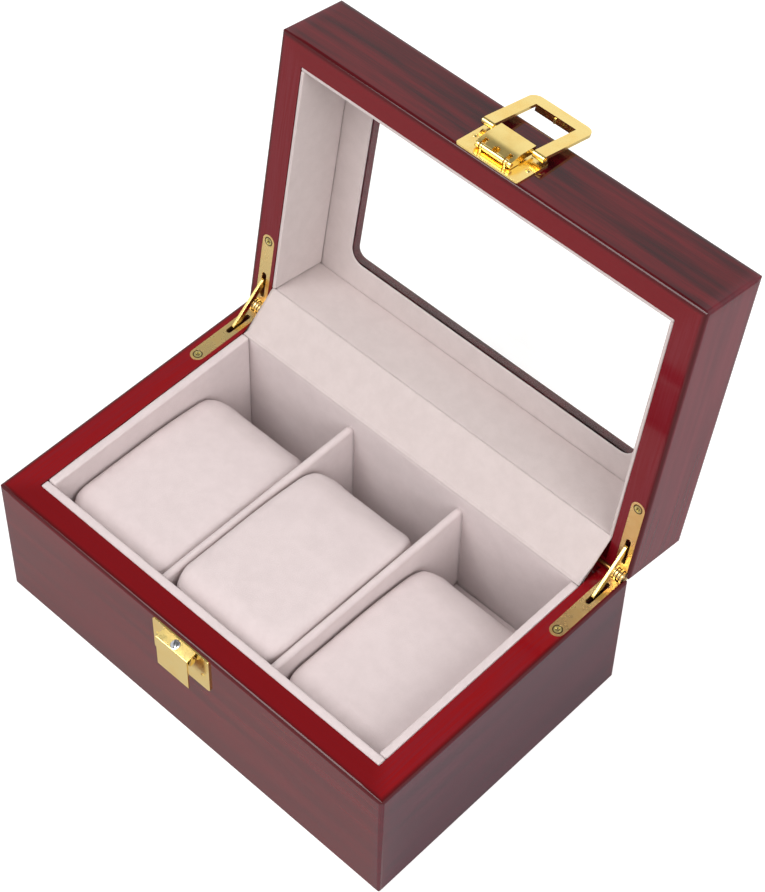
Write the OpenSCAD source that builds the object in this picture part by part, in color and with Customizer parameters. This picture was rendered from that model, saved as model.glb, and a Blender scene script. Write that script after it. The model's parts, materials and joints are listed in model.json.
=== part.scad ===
// Lacquered wooden watch box with a glazed lid, three cushions and gilt fittings.
// The base stands on z = 0, the front faces -Y and the hinges are on the +Y side.
// Lid pieces are drawn where they lie with the lid shut, and are then turned open.

/* [Box] */
// Length of the box, left to right
box_length = 175; // [160:1:230]
// Depth of the box, front to back
box_depth = 116; // [104:1:140]
// Height of the base
base_height = 55.5; // [54:0.5:70]
// Height of the lid
lid_height = 29; // [27:0.5:40]
// Gap between the two rims with the lid shut
rim_gap = 0.3; // [0.2:0.05:0.5]
// Angle at which the lid is drawn open
open_angle = 99.5; // [90:0.5:104]

/* [Walls and edges] */
// Thickness of the left and right walls
side_wall = 10; // [9:0.5:13]
// Thickness of the front and back walls
end_wall = 9.3; // [8.5:0.1:12]
// Thickness of the bottom panel
bottom_panel = 4; // [3:0.5:6]
// Thickness of the felt under the bottom panel
felt_thickness = 1; // [0.6:0.2:2]
// Thickness of the lid's top panel
top_panel = 4.4; // [4.2:0.1:6]
// Radius of the upright outer edges
upright_edge_r = 1.5; // [0.8:0.1:3]
// Radius of the edge round the lid's top
lid_edge_r = 3; // [1:0.1:3.5]
// Radius of the edge under the base
foot_edge_r = 1.5; // [0.5:0.1:3]
// Radius of the outer edge of both rims
rim_edge_r = 1.5; // [0.8:0.1:1.5]

/* [Lining] */
// Thickness of the velvet-covered boards in the base
base_lining = 3.5; // [2.5:0.1:5]
// Thickness of the velvet pad on the floor
floor_lining = 2.5; // [1.5:0.1:4]
// Thickness of the velvet boards on the front and sides of the lid
lid_lining = 1.6; // [1:0.1:2.5]
// Thickness of the velvet board along the back of the lid
lid_back_lining = 3; // [2.4:0.1:4]
// Thickness of the velvet card that frames the window
ceiling_card = 0.9; // [0.6:0.1:1.5]
// Radius along the top of each lining board in the base
lining_edge_r = 0.8; // [0.4:0.1:1.2]

/* [Dividers and cushions] */
// Thickness of each divider
divider_thickness = 3.2; // [2:0.1:5]
// How far the dividers' tops lie below the rim
divider_drop = 7; // [5:0.5:20]
// How far a divider's ends sit in the lining boards
divider_groove = 1; // [0.5:0.1:1.5]
// Length of each cushion, front to back
cushion_length = 75; // [60:0.5:76]
// How far the tops of the left, middle and right cushion lie below the rim
cushion_drops = [8.5, 5, 13]; // [4:0.5:18]
// Thickness of a cushion's velvet cover
cushion_cover = 1; // [0.6:0.1:1.5]
// Radius of a cushion's corners seen from above
cushion_corner_r = 10; // [6:0.5:14]
// Radius along a cushion's front and back top edges
cushion_top_r = 11; // [8:0.5:16]
// Radius along a cushion's side top edges
cushion_side_r = 4; // [3:0.5:8]
// Radius along a cushion's bottom edges
cushion_bottom_r = 4; // [2:0.5:6]
// Gap round each cushion
cushion_gap = 0.35; // [0.3:0.05:1]

/* [Window] */
// Length of the window in the lid
window_length = 128; // [100:1:134]
// Width of the window in the lid
window_width = 71.5; // [50:0.5:75]
// Radius of the corners in the wooden frame
window_corner_r = 3.8; // [1:0.1:8]
// Radius of the corners in the velvet card
card_corner_r = 5.5; // [1:0.1:10]
// Thickness of the glass
glass_thickness = 1.2; // [1:0.1:1.8]
// How far the glass reaches under the frame
glass_ledge = 4; // [2:0.5:5]
// Gap round the glass in its rebate
glass_gap = 0.2; // [0.1:0.05:0.5]

/* [Hinges] */
// Width of a hinge leaf
leaf_width = 5.4; // [5:0.1:6.6]
// Thickness of a hinge leaf
leaf_thickness = 2; // [1.5:0.1:2.4]
// Distance from the hinge pin to the centre of the leaf's round tip
leaf_reach = 30.1; // [24:0.1:40]
// Outer radius of the hinge knuckles
knuckle_r = 2.4; // [2.1:0.1:2.6]
// Radius of the hinge pin
hinge_pin_r = 1; // [0.8:0.05:1.2]
// How far the pin lies inside the back face
pin_inset = 0.5; // [0.3:0.1:0.8]
// Number of knuckles on each hinge
knuckles = 5; // [3:2:5]
// How far the outer knuckles lie inside the leaf's sides
knuckle_inset = 0.1; // [0.05:0.05:0.2]
// Radius of the hinge screws' heads
hinge_screw_head_r = 1.8; // [1.4:0.1:2.2]
// Length of the hinge screws
hinge_screw_length = 9; // [6:0.5:12]
// Span of the cross slot in a hinge screw
hinge_screw_cross = 2.3; // [1.6:0.1:2.6]
// How far both hinges stand to the right of their walls' middles
hinge_shift = 1; // [-1:0.1:1]

/* [Stays] */
// Distance from the hinge pin to each end of the stay
stay_arm = 12; // [11:0.1:13]
// Width of the stay
stay_width = 2.5; // [2:0.1:3]
// Thickness of the stay
stay_thickness = 1; // [0.8:0.1:1.4]
// Width of the slots that the stay slides in
stay_slot = 2; // [2:0.05:2.4]
// Width of metal between a hinge's barrel and its slot
slot_web = 2.3; // [1.5:0.1:3]
// How far the slot runs on past the stay's end
slot_spare = 4; // [3:0.5:6]

/* [Hinge flap] */
// Thickness of the velvet flap over the hinge line
flap_thickness = 0.6; // [0.4:0.1:0.8]
// Depth of the rebate in each rim where the flap is glued
flap_rebate = 1; // [1:0.1:1.4]
// Width of wood left behind the rebate
flap_lip = 2.4; // [2:0.1:3.5]

/* [Catch on the base] */
// Place of the catch and clasp along the front, from the middle
latch_x = 0; // [-10:0.5:10]
// Width of the catch plate
catch_width = 25.6; // [22:0.2:30]
// Height of the catch plate
catch_height = 16.5; // [14:0.5:18]
// Distance from the rim down to the catch plate
catch_drop = 1; // [0.5:0.1:3]
// Thickness of both latch plates
plate_thickness = 0.6; // [0.5:0.05:0.8]
// Radius of the plates' corners
plate_corner_r = 1; // [0.5:0.1:2]
// Width of the hook
hook_width = 14.3; // [12:0.1:15]
// Height of the hook's front
hook_height = 15; // [13:0.1:16]
// Thickness of the hook's metal
hook_metal = 0.6; // [0.5:0.05:0.8]
// Height of the hook's foot on the plate
hook_foot = 1.2; // [1:0.1:1.5]
// Fall of the hook's shoulder from the plate to the front
hook_fall = 1.1; // [0.8:0.1:1.6]
// Radius of the catch screw's head
catch_screw_head_r = 1.9; // [1.6:0.1:2.1]
// Height of the catch screw's head
catch_screw_head_h = 1.3; // [1:0.1:1.6]
// Radius of the flat on top of the catch screw's head
catch_screw_flat_r = 1.3; // [0.8:0.1:1.5]

/* [Clasp on the lid] */
// Width of the clasp plate
clasp_width = 25.6; // [25.6:0.2:30]
// Height of the clasp plate
clasp_height = 15.3; // [14.5:0.1:17]
// Distance from the rim up to the clasp plate
clasp_rise = 0.5; // [0.4:0.1:2]
// Width of the lever
lever_width = 14.3; // [13:0.1:15]
// Length of the lever from its pin to its free edge
lever_length = 11.1; // [10.9:0.1:12]
// Thickness of the lever's metal
lever_metal = 0.7; // [0.5:0.05:0.8]
// How far the lever's front stands off the lid
lever_stand = 4.4; // [4.2:0.1:4.8]
// How far the lever's pin stands off the lid
lever_pin_stand = 2.1; // [2.1:0.05:2.2]
// Distance from the rim up to the lever's pin
lever_pin_rise = 4; // [3.8:0.1:4.4]
// Radius of the lever's rolled end
lever_roll_r = 1.2; // [1.1:0.05:1.2]
// Length of the lever's sloping part
lever_slope = 4; // [3:0.1:5]
// Width of each ear that carries the lever
ear_width = 0.8; // [0.6:0.1:1]
// Distance from the middle to each ear
ear_place = 5; // [4:0.1:5.4]
// How far each ear's sides lie inside the lever's roll
ear_inset = 0.3; // [0.2:0.05:0.4]
// How far the flanges are cut back below the lever's slope
flange_relief = 0.6; // [0.4:0.1:1]
// Radius of the round hole in the lever's slope
lever_hole_r = 1.3; // [1:0.1:1.4]

/* [Bail] */
// Width of the bail
bail_width = 25.3; // [24:0.1:25.6]
// Length of the bail from its pin to its far edge
bail_length = 25; // [24:0.1:25.4]
// Width of the bail's arms
bail_arm = 4.4; // [3.6:0.1:4.4]
// Width of the bail's far bar
bail_bar = 4.8; // [4:0.1:5]
// Thickness of the bail
bail_metal = 1.2; // [1:0.05:1.3]
// Depth of the lip inside the far bar, with the bar
bail_lip = 2.6; // [2:0.1:2.6]
// Thickness of the lip
bail_lip_metal = 0.8; // [0.6:0.1:1]
// Radius of the bail's outer corners
bail_corner_r = 3.5; // [2:0.1:4]
// Radius of the bail's rolled eyes
bail_eye_r = 1.3; // [1.25:0.05:1.3]
// Distance between the lever's pin and the bail's pin along the lever
bail_pin_reach = 9.4; // [9:0.1:9.5]
// How far the bail's pin lies inside the outer end of each eye
bail_pin_inset = 0.5; // [0.2:0.1:1]
// How far the bail leans towards the lid's top at rest, in degrees
bail_rest_lean = 5; // [3:0.5:6]

/* [Small fasteners] */
// Radius of the nail heads
nail_head_r = 1; // [0.8:0.1:1.2]
// Height of the nail heads
nail_head_h = 0.35; // [0.2:0.05:0.4]
// Radius of the nails' shanks
nail_r = 0.5; // [0.4:0.05:0.6]
// Length of the nails below the head
nail_length = 6; // [4:0.5:7]
// Distance of the catch's left and right nail from the plate's side
catch_nail_edges = [1.8, 2.8]; // [1.5:0.1:3]
// Distance of the catch's left and right nail below the plate's top
catch_nail_drops = [7.5, 9.8]; // [4:0.1:12]
// Distance of the clasp's nails from the plate's side
clasp_nail_edge = 1.8; // [1.5:0.1:3]
// Distance of the clasp's nails above the plate's bottom
clasp_nail_rise = 7.4; // [4:0.1:12]
// Radius of the screws' shanks
screw_r = 0.9; // [0.7:0.05:1]
// Width of the screws' driver slots
driver_slot = 0.5; // [0.4:0.1:0.7]
// Radius of the two latch pins
latch_pin_r = 0.6; // [0.5:0.05:0.65]

/* [Fits] */
// Radial clearance of a piece that turns on a pin
pin_fit = 0.05; // [0.02:0.01:0.08]
// Gap between pieces that move past each other
running_gap = 0.3; // [0.3:0.05:0.5]
// Gap round the bail's bar inside the hook
throat_gap = 0.35; // [0.3:0.05:0.5]

/* [Hidden] */
$fn = 48;
eps = 0.02;
overcut = 1;
ear_relief = 0.1;

wood = "#7a1c22";
velvet = "#e4d8d4";
gilt = "#e3c26a";
steel = "#c9c9cc";

left = -1;
right = 1;

// heights that the pieces share
lid_rim = base_height + rim_gap;
lid_top = lid_rim + lid_height;
panel_z = lid_top - top_panel;
card_z = panel_z - ceiling_card;
floor_z = felt_thickness + bottom_panel;
seat_z = floor_z + floor_lining;
divider_top = base_height - divider_drop;

// the room inside the walls and inside the linings
room_x = box_length / 2 - side_wall;
room_y = box_depth / 2 - end_wall;
lined_x = room_x - base_lining;
lined_y = room_y - base_lining;
lid_lined_y = room_y - lid_lining;
lid_back_y = room_y - lid_back_lining;
bay_width = (2 * lined_x - 2 * divider_thickness) / 3;
divider_x = bay_width / 2 + divider_thickness / 2;
cushion_width = bay_width - 2 * cushion_gap;
cushion_back = cushion_gap - lined_y + cushion_length;

// the hinge line
pin_y = box_depth / 2 - pin_inset;
pin_z = base_height + rim_gap / 2;
function hinge_at(side) = side * (box_length - side_wall) / 2 + hinge_shift;
leaf_tip_y = pin_y - leaf_reach;
leaf_end_y = pin_y - knuckle_r - running_gap;
knuckle_pitch = (leaf_width - 2 * knuckle_inset + running_gap) / knuckles;
knuckle_length = knuckle_pitch - running_gap;
slot_near = knuckle_r + running_gap + slot_web;
slot_far = stay_arm + slot_spare;

// the stay, as it stands with the lid shut
stay_rise = stay_arm * sin(open_angle / 2);
stay_offset = stay_arm * cos(open_angle / 2);
mortise_depth = stay_rise + stay_width / 2 + rim_gap / 2 + running_gap;

// the flap runs from the base's rebate to the lid's rebate
rebate_y = box_depth / 2 - flap_lip;
base_rebate_z = base_height - flap_rebate;
lid_rebate_z = lid_rim + flap_rebate;
flap_x = room_x - running_gap;

// the clasp and the catch, as heights and distances off the front
lever_pin_z = lid_rim + lever_pin_rise;
clasp_z = lid_rim + clasp_rise;
bail_pin_stand = lever_stand - lever_metal - latch_pin_r;
bail_pin_z = lever_pin_z + bail_pin_reach;
bail_inner = bail_length - bail_bar;
catch_top = base_height - catch_drop;
catch_z = catch_top - catch_height;
bail_lean = asin((bail_pin_stand - bail_eye_r - plate_thickness - throat_gap) / bail_length);
hook_inside = bail_pin_stand + bail_lip - bail_eye_r + throat_gap - bail_inner * sin(bail_lean);
hook_outside = hook_inside + hook_metal;
hook_top = catch_top - hook_fall;
hook_free_z = hook_top - hook_height;
keeper_z = bail_pin_z - bail_inner * cos(bail_lean) + running_gap;
keeper_r = (hook_inside - plate_thickness - 2 * throat_gap) / 2;
keeper_stand = plate_thickness + throat_gap + keeper_r;
shoulder_slope = hook_fall / (hook_outside - plate_thickness - hook_metal);
shoulder_z = catch_top - hook_metal / 2 - shoulder_slope * (keeper_stand - plate_thickness - hook_metal);
catch_screw_z = catch_top - hook_foot - catch_screw_head_r;

// ---------------------------------------------------------------- helpers

// An upright rectangle on the x axis, centred, with its own radius at foot and head.
module rounded_face(w, h, foot_r, head_r) {
  translate([-w / 2, foot_r])
    square([w, h - foot_r - head_r]);
  translate([-w / 2 + foot_r, 0])
    square([w - 2 * foot_r, h / 2]);
  translate([-w / 2 + head_r, h / 2])
    square([w - 2 * head_r, h / 2]);
  for (side = [left, right]) {
    translate([side * (w / 2 - foot_r), foot_r])
      circle(foot_r);
    translate([side * (w / 2 - head_r), h - head_r])
      circle(head_r);
  }
}

// A rectangle in plan, centred, with round corners.
module rounded_plan(x, y, r) {
  translate([0, -y / 2])
    rounded_face(x, y, r, r);
}

// A block on the x-y plane whose edges are round in all three directions.
module rounded_block(x, y, z, plan_r, foot_r, side_r, end_r) {
  intersection() {
    linear_extrude(z)
      rounded_plan(x, y, plan_r);
    translate([0, y / 2, 0])
      rotate([90, 0, 0])
        linear_extrude(y)
          rounded_face(x, z, foot_r, side_r);
    translate([-x / 2, 0, 0])
      rotate([90, 0, 90])
        linear_extrude(x)
          rounded_face(y, z, foot_r, end_r);
  }
}

// A box given by its lowest and highest corner.
module span(low, high) {
  translate(low)
    cube(high - low);
}

// A cylinder along x, centred at the given place.
module rod(r, length, at) {
  translate(at)
    rotate([0, 90, 0])
      cylinder(r = r, h = length, center = true);
}

// A profile in (distance off the front, height), carried along x about the latch.
module latch_section(width) {
  translate([latch_x - width / 2, -box_depth / 2, 0])
    rotate([90, 0, 90])
      linear_extrude(width)
        mirror([1, 0])
          children();
}

// Puts children drawn in (x, height), rising out of the front, in the latch's place.
module on_front() {
  translate([latch_x, -box_depth / 2, 0])
    rotate([90, 0, 0])
      children();
}

// Turns what is drawn for the shut lid to its open place.
module opened() {
  translate([0, pin_y, pin_z])
    rotate([-open_angle, 0, 0])
      translate([0, -pin_y, -pin_z])
        children();
}

// Reflects what is drawn for the base in the middle of the rim gap.
module above_rim() {
  translate([0, 0, 2 * pin_z])
    mirror([0, 0, 1])
      children();
}

// ---------------------------------------------------------------- outer forms

module base_form() {
  rounded_block(box_length, box_depth, base_height, upright_edge_r, foot_edge_r, rim_edge_r, rim_edge_r);
}

module lid_form() {
  translate([0, 0, lid_rim])
    rounded_block(box_length, box_depth, lid_height, upright_edge_r, rim_edge_r, lid_edge_r, lid_edge_r);
}

// ---------------------------------------------------------------- hinges

// The leaf's outline in plan, out to the given distance behind the tip.
module leaf_outline(end_y) {
  translate([0, leaf_tip_y])
    circle(leaf_width / 2);
  translate([-leaf_width / 2, leaf_tip_y])
    square([leaf_width, end_y - leaf_tip_y]);
}

// The slot that the stay slides in, and its mortise in the wood below.
module stay_slot_outline() {
  translate([-stay_slot / 2, pin_y - slot_far + stay_slot / 2])
    square([stay_slot, slot_far - slot_near - stay_slot]);
  for (place = [slot_far - stay_slot / 2, slot_near + stay_slot / 2])
    translate([0, pin_y - place])
      circle(stay_slot / 2);
}

// The screw's countersunk form, head upwards at z = 0.
module countersunk(head_r, shank_r, length) {
  translate([0, 0, -head_r + shank_r])
    cylinder(r1 = shank_r, r2 = head_r, h = head_r - shank_r);
  translate([0, 0, -length])
    cylinder(r = shank_r, h = length);
}

// Room for one leaf, its barrel, its screw and its stay in the top of a base wall.
module leaf_pocket(side) {
  translate([hinge_at(side), 0, base_height]) {
    translate([0, 0, -leaf_thickness])
      linear_extrude(leaf_thickness + overcut)
        leaf_outline(pin_y);
    translate([0, 0, -mortise_depth])
      linear_extrude(mortise_depth)
        stay_slot_outline();
    translate([0, leaf_tip_y, 0])
      countersunk(hinge_screw_head_r, screw_r, hinge_screw_length);
  }
  rod(knuckle_r + running_gap, leaf_width + 2 * running_gap, [hinge_at(side), pin_y, pin_z]);
}

// One leaf as it lies in the base; knuckles of the same parity as `first` are its own.
module leaf(side, first, bore_r) {
  color(gilt)
  translate([hinge_at(side), 0, 0])
  difference() {
    union() {
      translate([0, 0, base_height - leaf_thickness])
        linear_extrude(leaf_thickness)
          leaf_outline(leaf_end_y);
      for (k = [first : 2 : knuckles - 1]) {
        x = knuckle_inset - leaf_width / 2 + k * knuckle_pitch;
        translate([x, leaf_end_y - leaf_thickness, base_height - leaf_thickness])
          cube([knuckle_length, pin_y - leaf_end_y + leaf_thickness, leaf_thickness]);
        rod(knuckle_r, knuckle_length, [x + knuckle_length / 2, pin_y, pin_z]);
      }
    }
    rod(bore_r, 2 * leaf_width, [0, pin_y, pin_z]);
    translate([0, 0, base_height - leaf_thickness - overcut])
      linear_extrude(leaf_thickness + 2 * overcut)
        stay_slot_outline();
    translate([0, leaf_tip_y, base_height])
      countersunk(hinge_screw_head_r, screw_r, hinge_screw_length);
  }
}

// Two countersunk screws with cross slots, one in the tip of each leaf.
module leaf_screws() {
  color(gilt)
  for (side = [left, right])
    translate([hinge_at(side), leaf_tip_y, base_height])
      difference() {
        countersunk(hinge_screw_head_r, screw_r, hinge_screw_length);
        for (turn = [0, 90])
          rotate([0, 0, turn])
            cube([hinge_screw_cross, driver_slot, 2 * driver_slot], center = true);
      }
}

module hinge_leaf_base_left() {
  leaf(left, 0, hinge_pin_r);
}

module hinge_leaf_base_right() {
  leaf(right, 0, hinge_pin_r);
}

module hinge_leaf_lid_left() {
  opened() above_rim() leaf(left, 1, hinge_pin_r + pin_fit);
}

module hinge_leaf_lid_right() {
  opened() above_rim() leaf(right, 1, hinge_pin_r + pin_fit);
}

module hinge_screws_base() {
  leaf_screws();
}

module hinge_screws_lid() {
  opened() above_rim() leaf_screws();
}

module hinge_pins() {
  color(gilt)
  for (side = [left, right])
    rod(hinge_pin_r, leaf_width, [hinge_at(side), pin_y, pin_z]);
}

// A flat bar with round ends that turns at half the lid's angle.
module stay(side) {
  color(gilt)
  translate([hinge_at(side) - stay_thickness / 2, pin_y, pin_z])
    rotate([-open_angle / 2, 0, 0])
      translate([0, -stay_offset, 0])
        rotate([90, 0, 90])
          linear_extrude(stay_thickness) {
            square([stay_width, 2 * stay_rise], center = true);
            for (end = [-1, 1])
              translate([0, end * stay_rise])
                circle(stay_width / 2);
          }
}

module stay_left() {
  stay(left);
}

module stay_right() {
  stay(right);
}

// ---------------------------------------------------------------- base

// A side wall runs the full depth and carries the hinge leaf on its rim.
module side_wall_of_base(side) {
  color(wood)
  difference() {
    intersection() {
      base_form();
      translate([side * (room_x + side_wall / 2), 0, base_height / 2])
        cube([side_wall, box_depth + overcut, base_height + overcut], center = true);
    }
    leaf_pocket(side);
  }
}

module base_left_wall() {
  side_wall_of_base(left);
}

module base_right_wall() {
  side_wall_of_base(right);
}

module base_front_wall() {
  color(wood)
  difference() {
    intersection() {
      base_form();
      span([-room_x, -box_depth / 2 - overcut, -overcut], [room_x, -room_y, base_height + overcut]);
    }
    catch_holes();
  }
}

module base_back_wall() {
  color(wood)
  difference() {
    intersection() {
      base_form();
      span([-room_x, room_y, -overcut], [room_x, box_depth / 2 + overcut, base_height + overcut]);
    }
    span([-room_x - overcut, room_y - overcut, base_rebate_z],
         [room_x + overcut, rebate_y, base_height + overcut]);
  }
}

module base_bottom_panel() {
  color(wood)
    span([-room_x, -room_y, felt_thickness], [room_x, room_y, floor_z]);
}

module base_felt() {
  color("#5a1a1e")
    span([-room_x, -room_y, 0], [room_x, room_y, felt_thickness]);
}

// A velvet board along x: its top is round on the inner side only.
module long_board(y_wall, y_room, top) {
  r = lining_edge_r;
  turn = sign(y_room - y_wall);
  color(velvet)
  translate([-room_x, 0, 0])
    rotate([90, 0, 90])
      linear_extrude(2 * room_x)
        difference() {
          translate([min(y_wall, y_room), floor_z])
            square([abs(y_room - y_wall), top - floor_z]);
          difference() {
            translate([y_room - turn * r / 2, top - r / 2])
              square(r + eps, center = true);
            translate([y_room - turn * r, top - r])
              circle(r);
          }
        }
}

// The groove that takes one end of each divider.
module divider_grooves() {
  for (side = [left, right])
    span([side * divider_x - divider_thickness / 2, -lined_y - divider_groove, seat_z],
         [side * divider_x + divider_thickness / 2, lined_y + divider_groove, divider_top]);
}

module base_lining_front() {
  color(velvet)
  difference() {
    long_board(-room_y, -lined_y, base_height);
    divider_grooves();
  }
}

module base_lining_back() {
  color(velvet)
  difference() {
    span([-room_x, lined_y, floor_z], [room_x, room_y, base_rebate_z]);
    divider_grooves();
  }
}

// A velvet board along y between the front and back boards.
module side_board(side) {
  r = lining_edge_r;
  color(velvet)
  translate([0, lined_y, 0])
    rotate([90, 0, 0])
      linear_extrude(2 * lined_y)
        difference() {
          translate([side > 0 ? lined_x : -room_x, floor_z])
            square([base_lining, base_height - floor_z]);
          difference() {
            translate([side * (lined_x + r / 2), base_height - r / 2])
              square(r + eps, center = true);
            translate([side * (lined_x + r), base_height - r])
              circle(r);
          }
        }
}

module base_lining_left() {
  side_board(left);
}

module base_lining_right() {
  side_board(right);
}

module base_floor_pad() {
  color(velvet)
    span([-lined_x, -lined_y, floor_z], [lined_x, lined_y, seat_z]);
}

// A divider with a round top, its ends in the grooves.
module divider(side) {
  r = divider_thickness / 2;
  color(velvet)
  translate([side * divider_x, lined_y + divider_groove, seat_z])
    rotate([90, 0, 0])
      linear_extrude(2 * (lined_y + divider_groove)) {
        translate([-r, 0])
          square([2 * r, divider_top - seat_z - r]);
        translate([0, divider_top - seat_z - r])
          circle(r);
      }
}

module divider_left() {
  divider(left);
}

module divider_right() {
  divider(right);
}

// ---------------------------------------------------------------- cushions

// A cushion's rounded form, drawn in by the given amount all round.
module cushion_form(place, inset) {
  height = base_height - cushion_drops[place] - seat_z;
  translate([(place - 1) * (bay_width + divider_thickness),
             cushion_back - cushion_length / 2, seat_z + inset])
    rounded_block(cushion_width - 2 * inset, cushion_length - 2 * inset, height - 2 * inset,
                  cushion_corner_r - inset, cushion_bottom_r - inset,
                  cushion_side_r - inset, cushion_top_r - inset);
}

module cushion_cover_at(place) {
  color(velvet)
  difference() {
    cushion_form(place, 0);
    cushion_form(place, cushion_cover);
  }
}

module cushion_filling_at(place) {
  color("#f1ece4")
    cushion_form(place, cushion_cover);
}

module cushion_cover_left() {
  cushion_cover_at(0);
}

module cushion_cover_middle() {
  cushion_cover_at(1);
}

module cushion_cover_right() {
  cushion_cover_at(2);
}

module cushion_filling_left() {
  cushion_filling_at(0);
}

module cushion_filling_middle() {
  cushion_filling_at(1);
}

module cushion_filling_right() {
  cushion_filling_at(2);
}

// ---------------------------------------------------------------- lid

// A side wall of the lid, shut, with the pocket for its hinge leaf.
module side_wall_of_lid(side) {
  color(wood)
  opened()
  difference() {
    intersection() {
      lid_form();
      translate([side * (room_x + side_wall / 2), 0, panel_z - lid_height])
        cube([side_wall, box_depth + overcut, 2 * lid_height], center = true);
    }
    above_rim() leaf_pocket(side);
  }
}

module lid_left_wall() {
  side_wall_of_lid(left);
}

module lid_right_wall() {
  side_wall_of_lid(right);
}

module lid_front_wall() {
  color(wood)
  opened()
  difference() {
    intersection() {
      lid_form();
      span([-room_x, -box_depth / 2 - overcut, lid_rim - overcut], [room_x, -room_y, panel_z]);
    }
    clasp_holes();
  }
}

module lid_back_wall() {
  color(wood)
  opened()
  difference() {
    intersection() {
      lid_form();
      span([-room_x, room_y, lid_rim - overcut], [room_x, box_depth / 2 + overcut, panel_z]);
    }
    span([-room_x - overcut, room_y - overcut, lid_rim - overcut],
         [room_x + overcut, rebate_y, lid_rebate_z]);
  }
}

module lid_top_panel() {
  color(wood)
  opened()
  difference() {
    intersection() {
      lid_form();
      span([-box_length, -box_depth, panel_z], [box_length, box_depth, lid_top + overcut]);
    }
    translate([0, 0, panel_z - overcut])
      linear_extrude(top_panel + 2 * overcut)
        rounded_plan(window_length, window_width, window_corner_r);
    translate([0, 0, panel_z - overcut])
      linear_extrude(glass_thickness + overcut)
        square([window_length + 2 * glass_ledge, window_width + 2 * glass_ledge], center = true);
  }
}

module window_glass() {
  reach = glass_ledge - glass_gap;
  color("#dfe9ea", 0.35)
  opened()
    translate([0, 0, panel_z])
      linear_extrude(glass_thickness)
        square([window_length + 2 * reach, window_width + 2 * reach], center = true);
}

module lid_ceiling_card() {
  color(velvet)
  opened()
    translate([0, 0, card_z])
      linear_extrude(ceiling_card)
        difference() {
          square([2 * room_x, 2 * room_y], center = true);
          rounded_plan(window_length, window_width, card_corner_r);
        }
}

module lid_lining_front() {
  color(velvet)
  opened()
    span([-room_x, -room_y, lid_rim], [room_x, -lid_lined_y, card_z]);
}

module lid_lining_back() {
  color(velvet)
  opened()
    span([-room_x, lid_back_y, lid_rebate_z], [room_x, room_y, card_z]);
}

module lid_side_board(side) {
  color(velvet)
  opened()
    translate([side * (room_x - lid_lining / 2), (lid_back_y - lid_lined_y) / 2, (lid_rim + card_z) / 2])
      cube([lid_lining, lid_back_y + lid_lined_y, card_z - lid_rim], center = true);
}

module lid_lining_left() {
  lid_side_board(left);
}

module lid_lining_right() {
  lid_side_board(right);
}

// ---------------------------------------------------------------- hinge flap

// Where a point of the shut lid, given as [y, z], lies with the lid open.
function open_point(p) = [
  pin_y + (p[0] - pin_y) * cos(open_angle) + (p[1] - pin_z) * sin(open_angle),
  pin_z - (p[0] - pin_y) * sin(open_angle) + (p[1] - pin_z) * cos(open_angle)
];

// A velvet strip glued in both rebates; it covers the hinge line with the lid open.
module hinge_flap() {
  t = flap_thickness;
  foot = flap_rebate + t;
  fold_low = [lined_y + foot - t / 2, base_rebate_z + t];
  fold_high = open_point([lid_back_y, lid_rebate_z - t]);
  along = (fold_high - fold_low) / norm(fold_high - fold_low);
  behind = t * [along[1], -along[0]];
  color(velvet)
  translate([-flap_x, 0, 0])
    rotate([90, 0, 90])
      linear_extrude(2 * flap_x)
        polygon([
          [lined_y, base_rebate_z],
          [lined_y, base_rebate_z + t],
          fold_low,
          fold_high,
          open_point([lid_back_y, lid_rebate_z]),
          open_point([lid_back_y + foot, lid_rebate_z]),
          open_point([lid_back_y + foot, lid_rebate_z - t]),
          fold_high + behind - t * along,
          fold_low + behind,
          [fold_low[0] + behind[0], base_rebate_z]
        ]);
}

// ---------------------------------------------------------------- catch on the base

catch_nail_places = [
  for (k = [0, 1])
    [(2 * k - 1) * (catch_width / 2 - catch_nail_edges[k]), catch_top - catch_nail_drops[k]]
];
clasp_nail_places = [
  for (side = [left, right])
    [side * (clasp_width / 2 - clasp_nail_edge), clasp_z + clasp_nail_rise]
];

// A nail with a domed head, its head's underside on the front of a plate.
module nail(place) {
  translate([place[0], place[1], plate_thickness - nail_length])
    cylinder(r = nail_r, h = nail_length);
  translate([place[0], place[1], plate_thickness])
    cylinder(r1 = nail_head_r, r2 = nail_head_r / 2, h = nail_head_h);
}

// The holes that the catch's screw and nails fill, through plate and wood.
module catch_holes() {
  on_front() {
    for (place = catch_nail_places)
      translate([place[0], place[1], plate_thickness - nail_length])
        cylinder(r = nail_r, h = nail_length + overcut);
    translate([0, catch_screw_z, plate_thickness - nail_length])
      cylinder(r = screw_r, h = nail_length + overcut);
  }
}

module clasp_holes() {
  on_front()
    for (place = clasp_nail_places)
      translate([place[0], place[1], plate_thickness - nail_length])
        cylinder(r = nail_r, h = nail_length + overcut);
}

module catch_plate() {
  color(gilt)
  difference() {
    on_front()
      linear_extrude(plate_thickness)
        translate([0, catch_z])
          rounded_face(catch_width, catch_height, plate_corner_r, plate_corner_r);
    catch_holes();
  }
}

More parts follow.
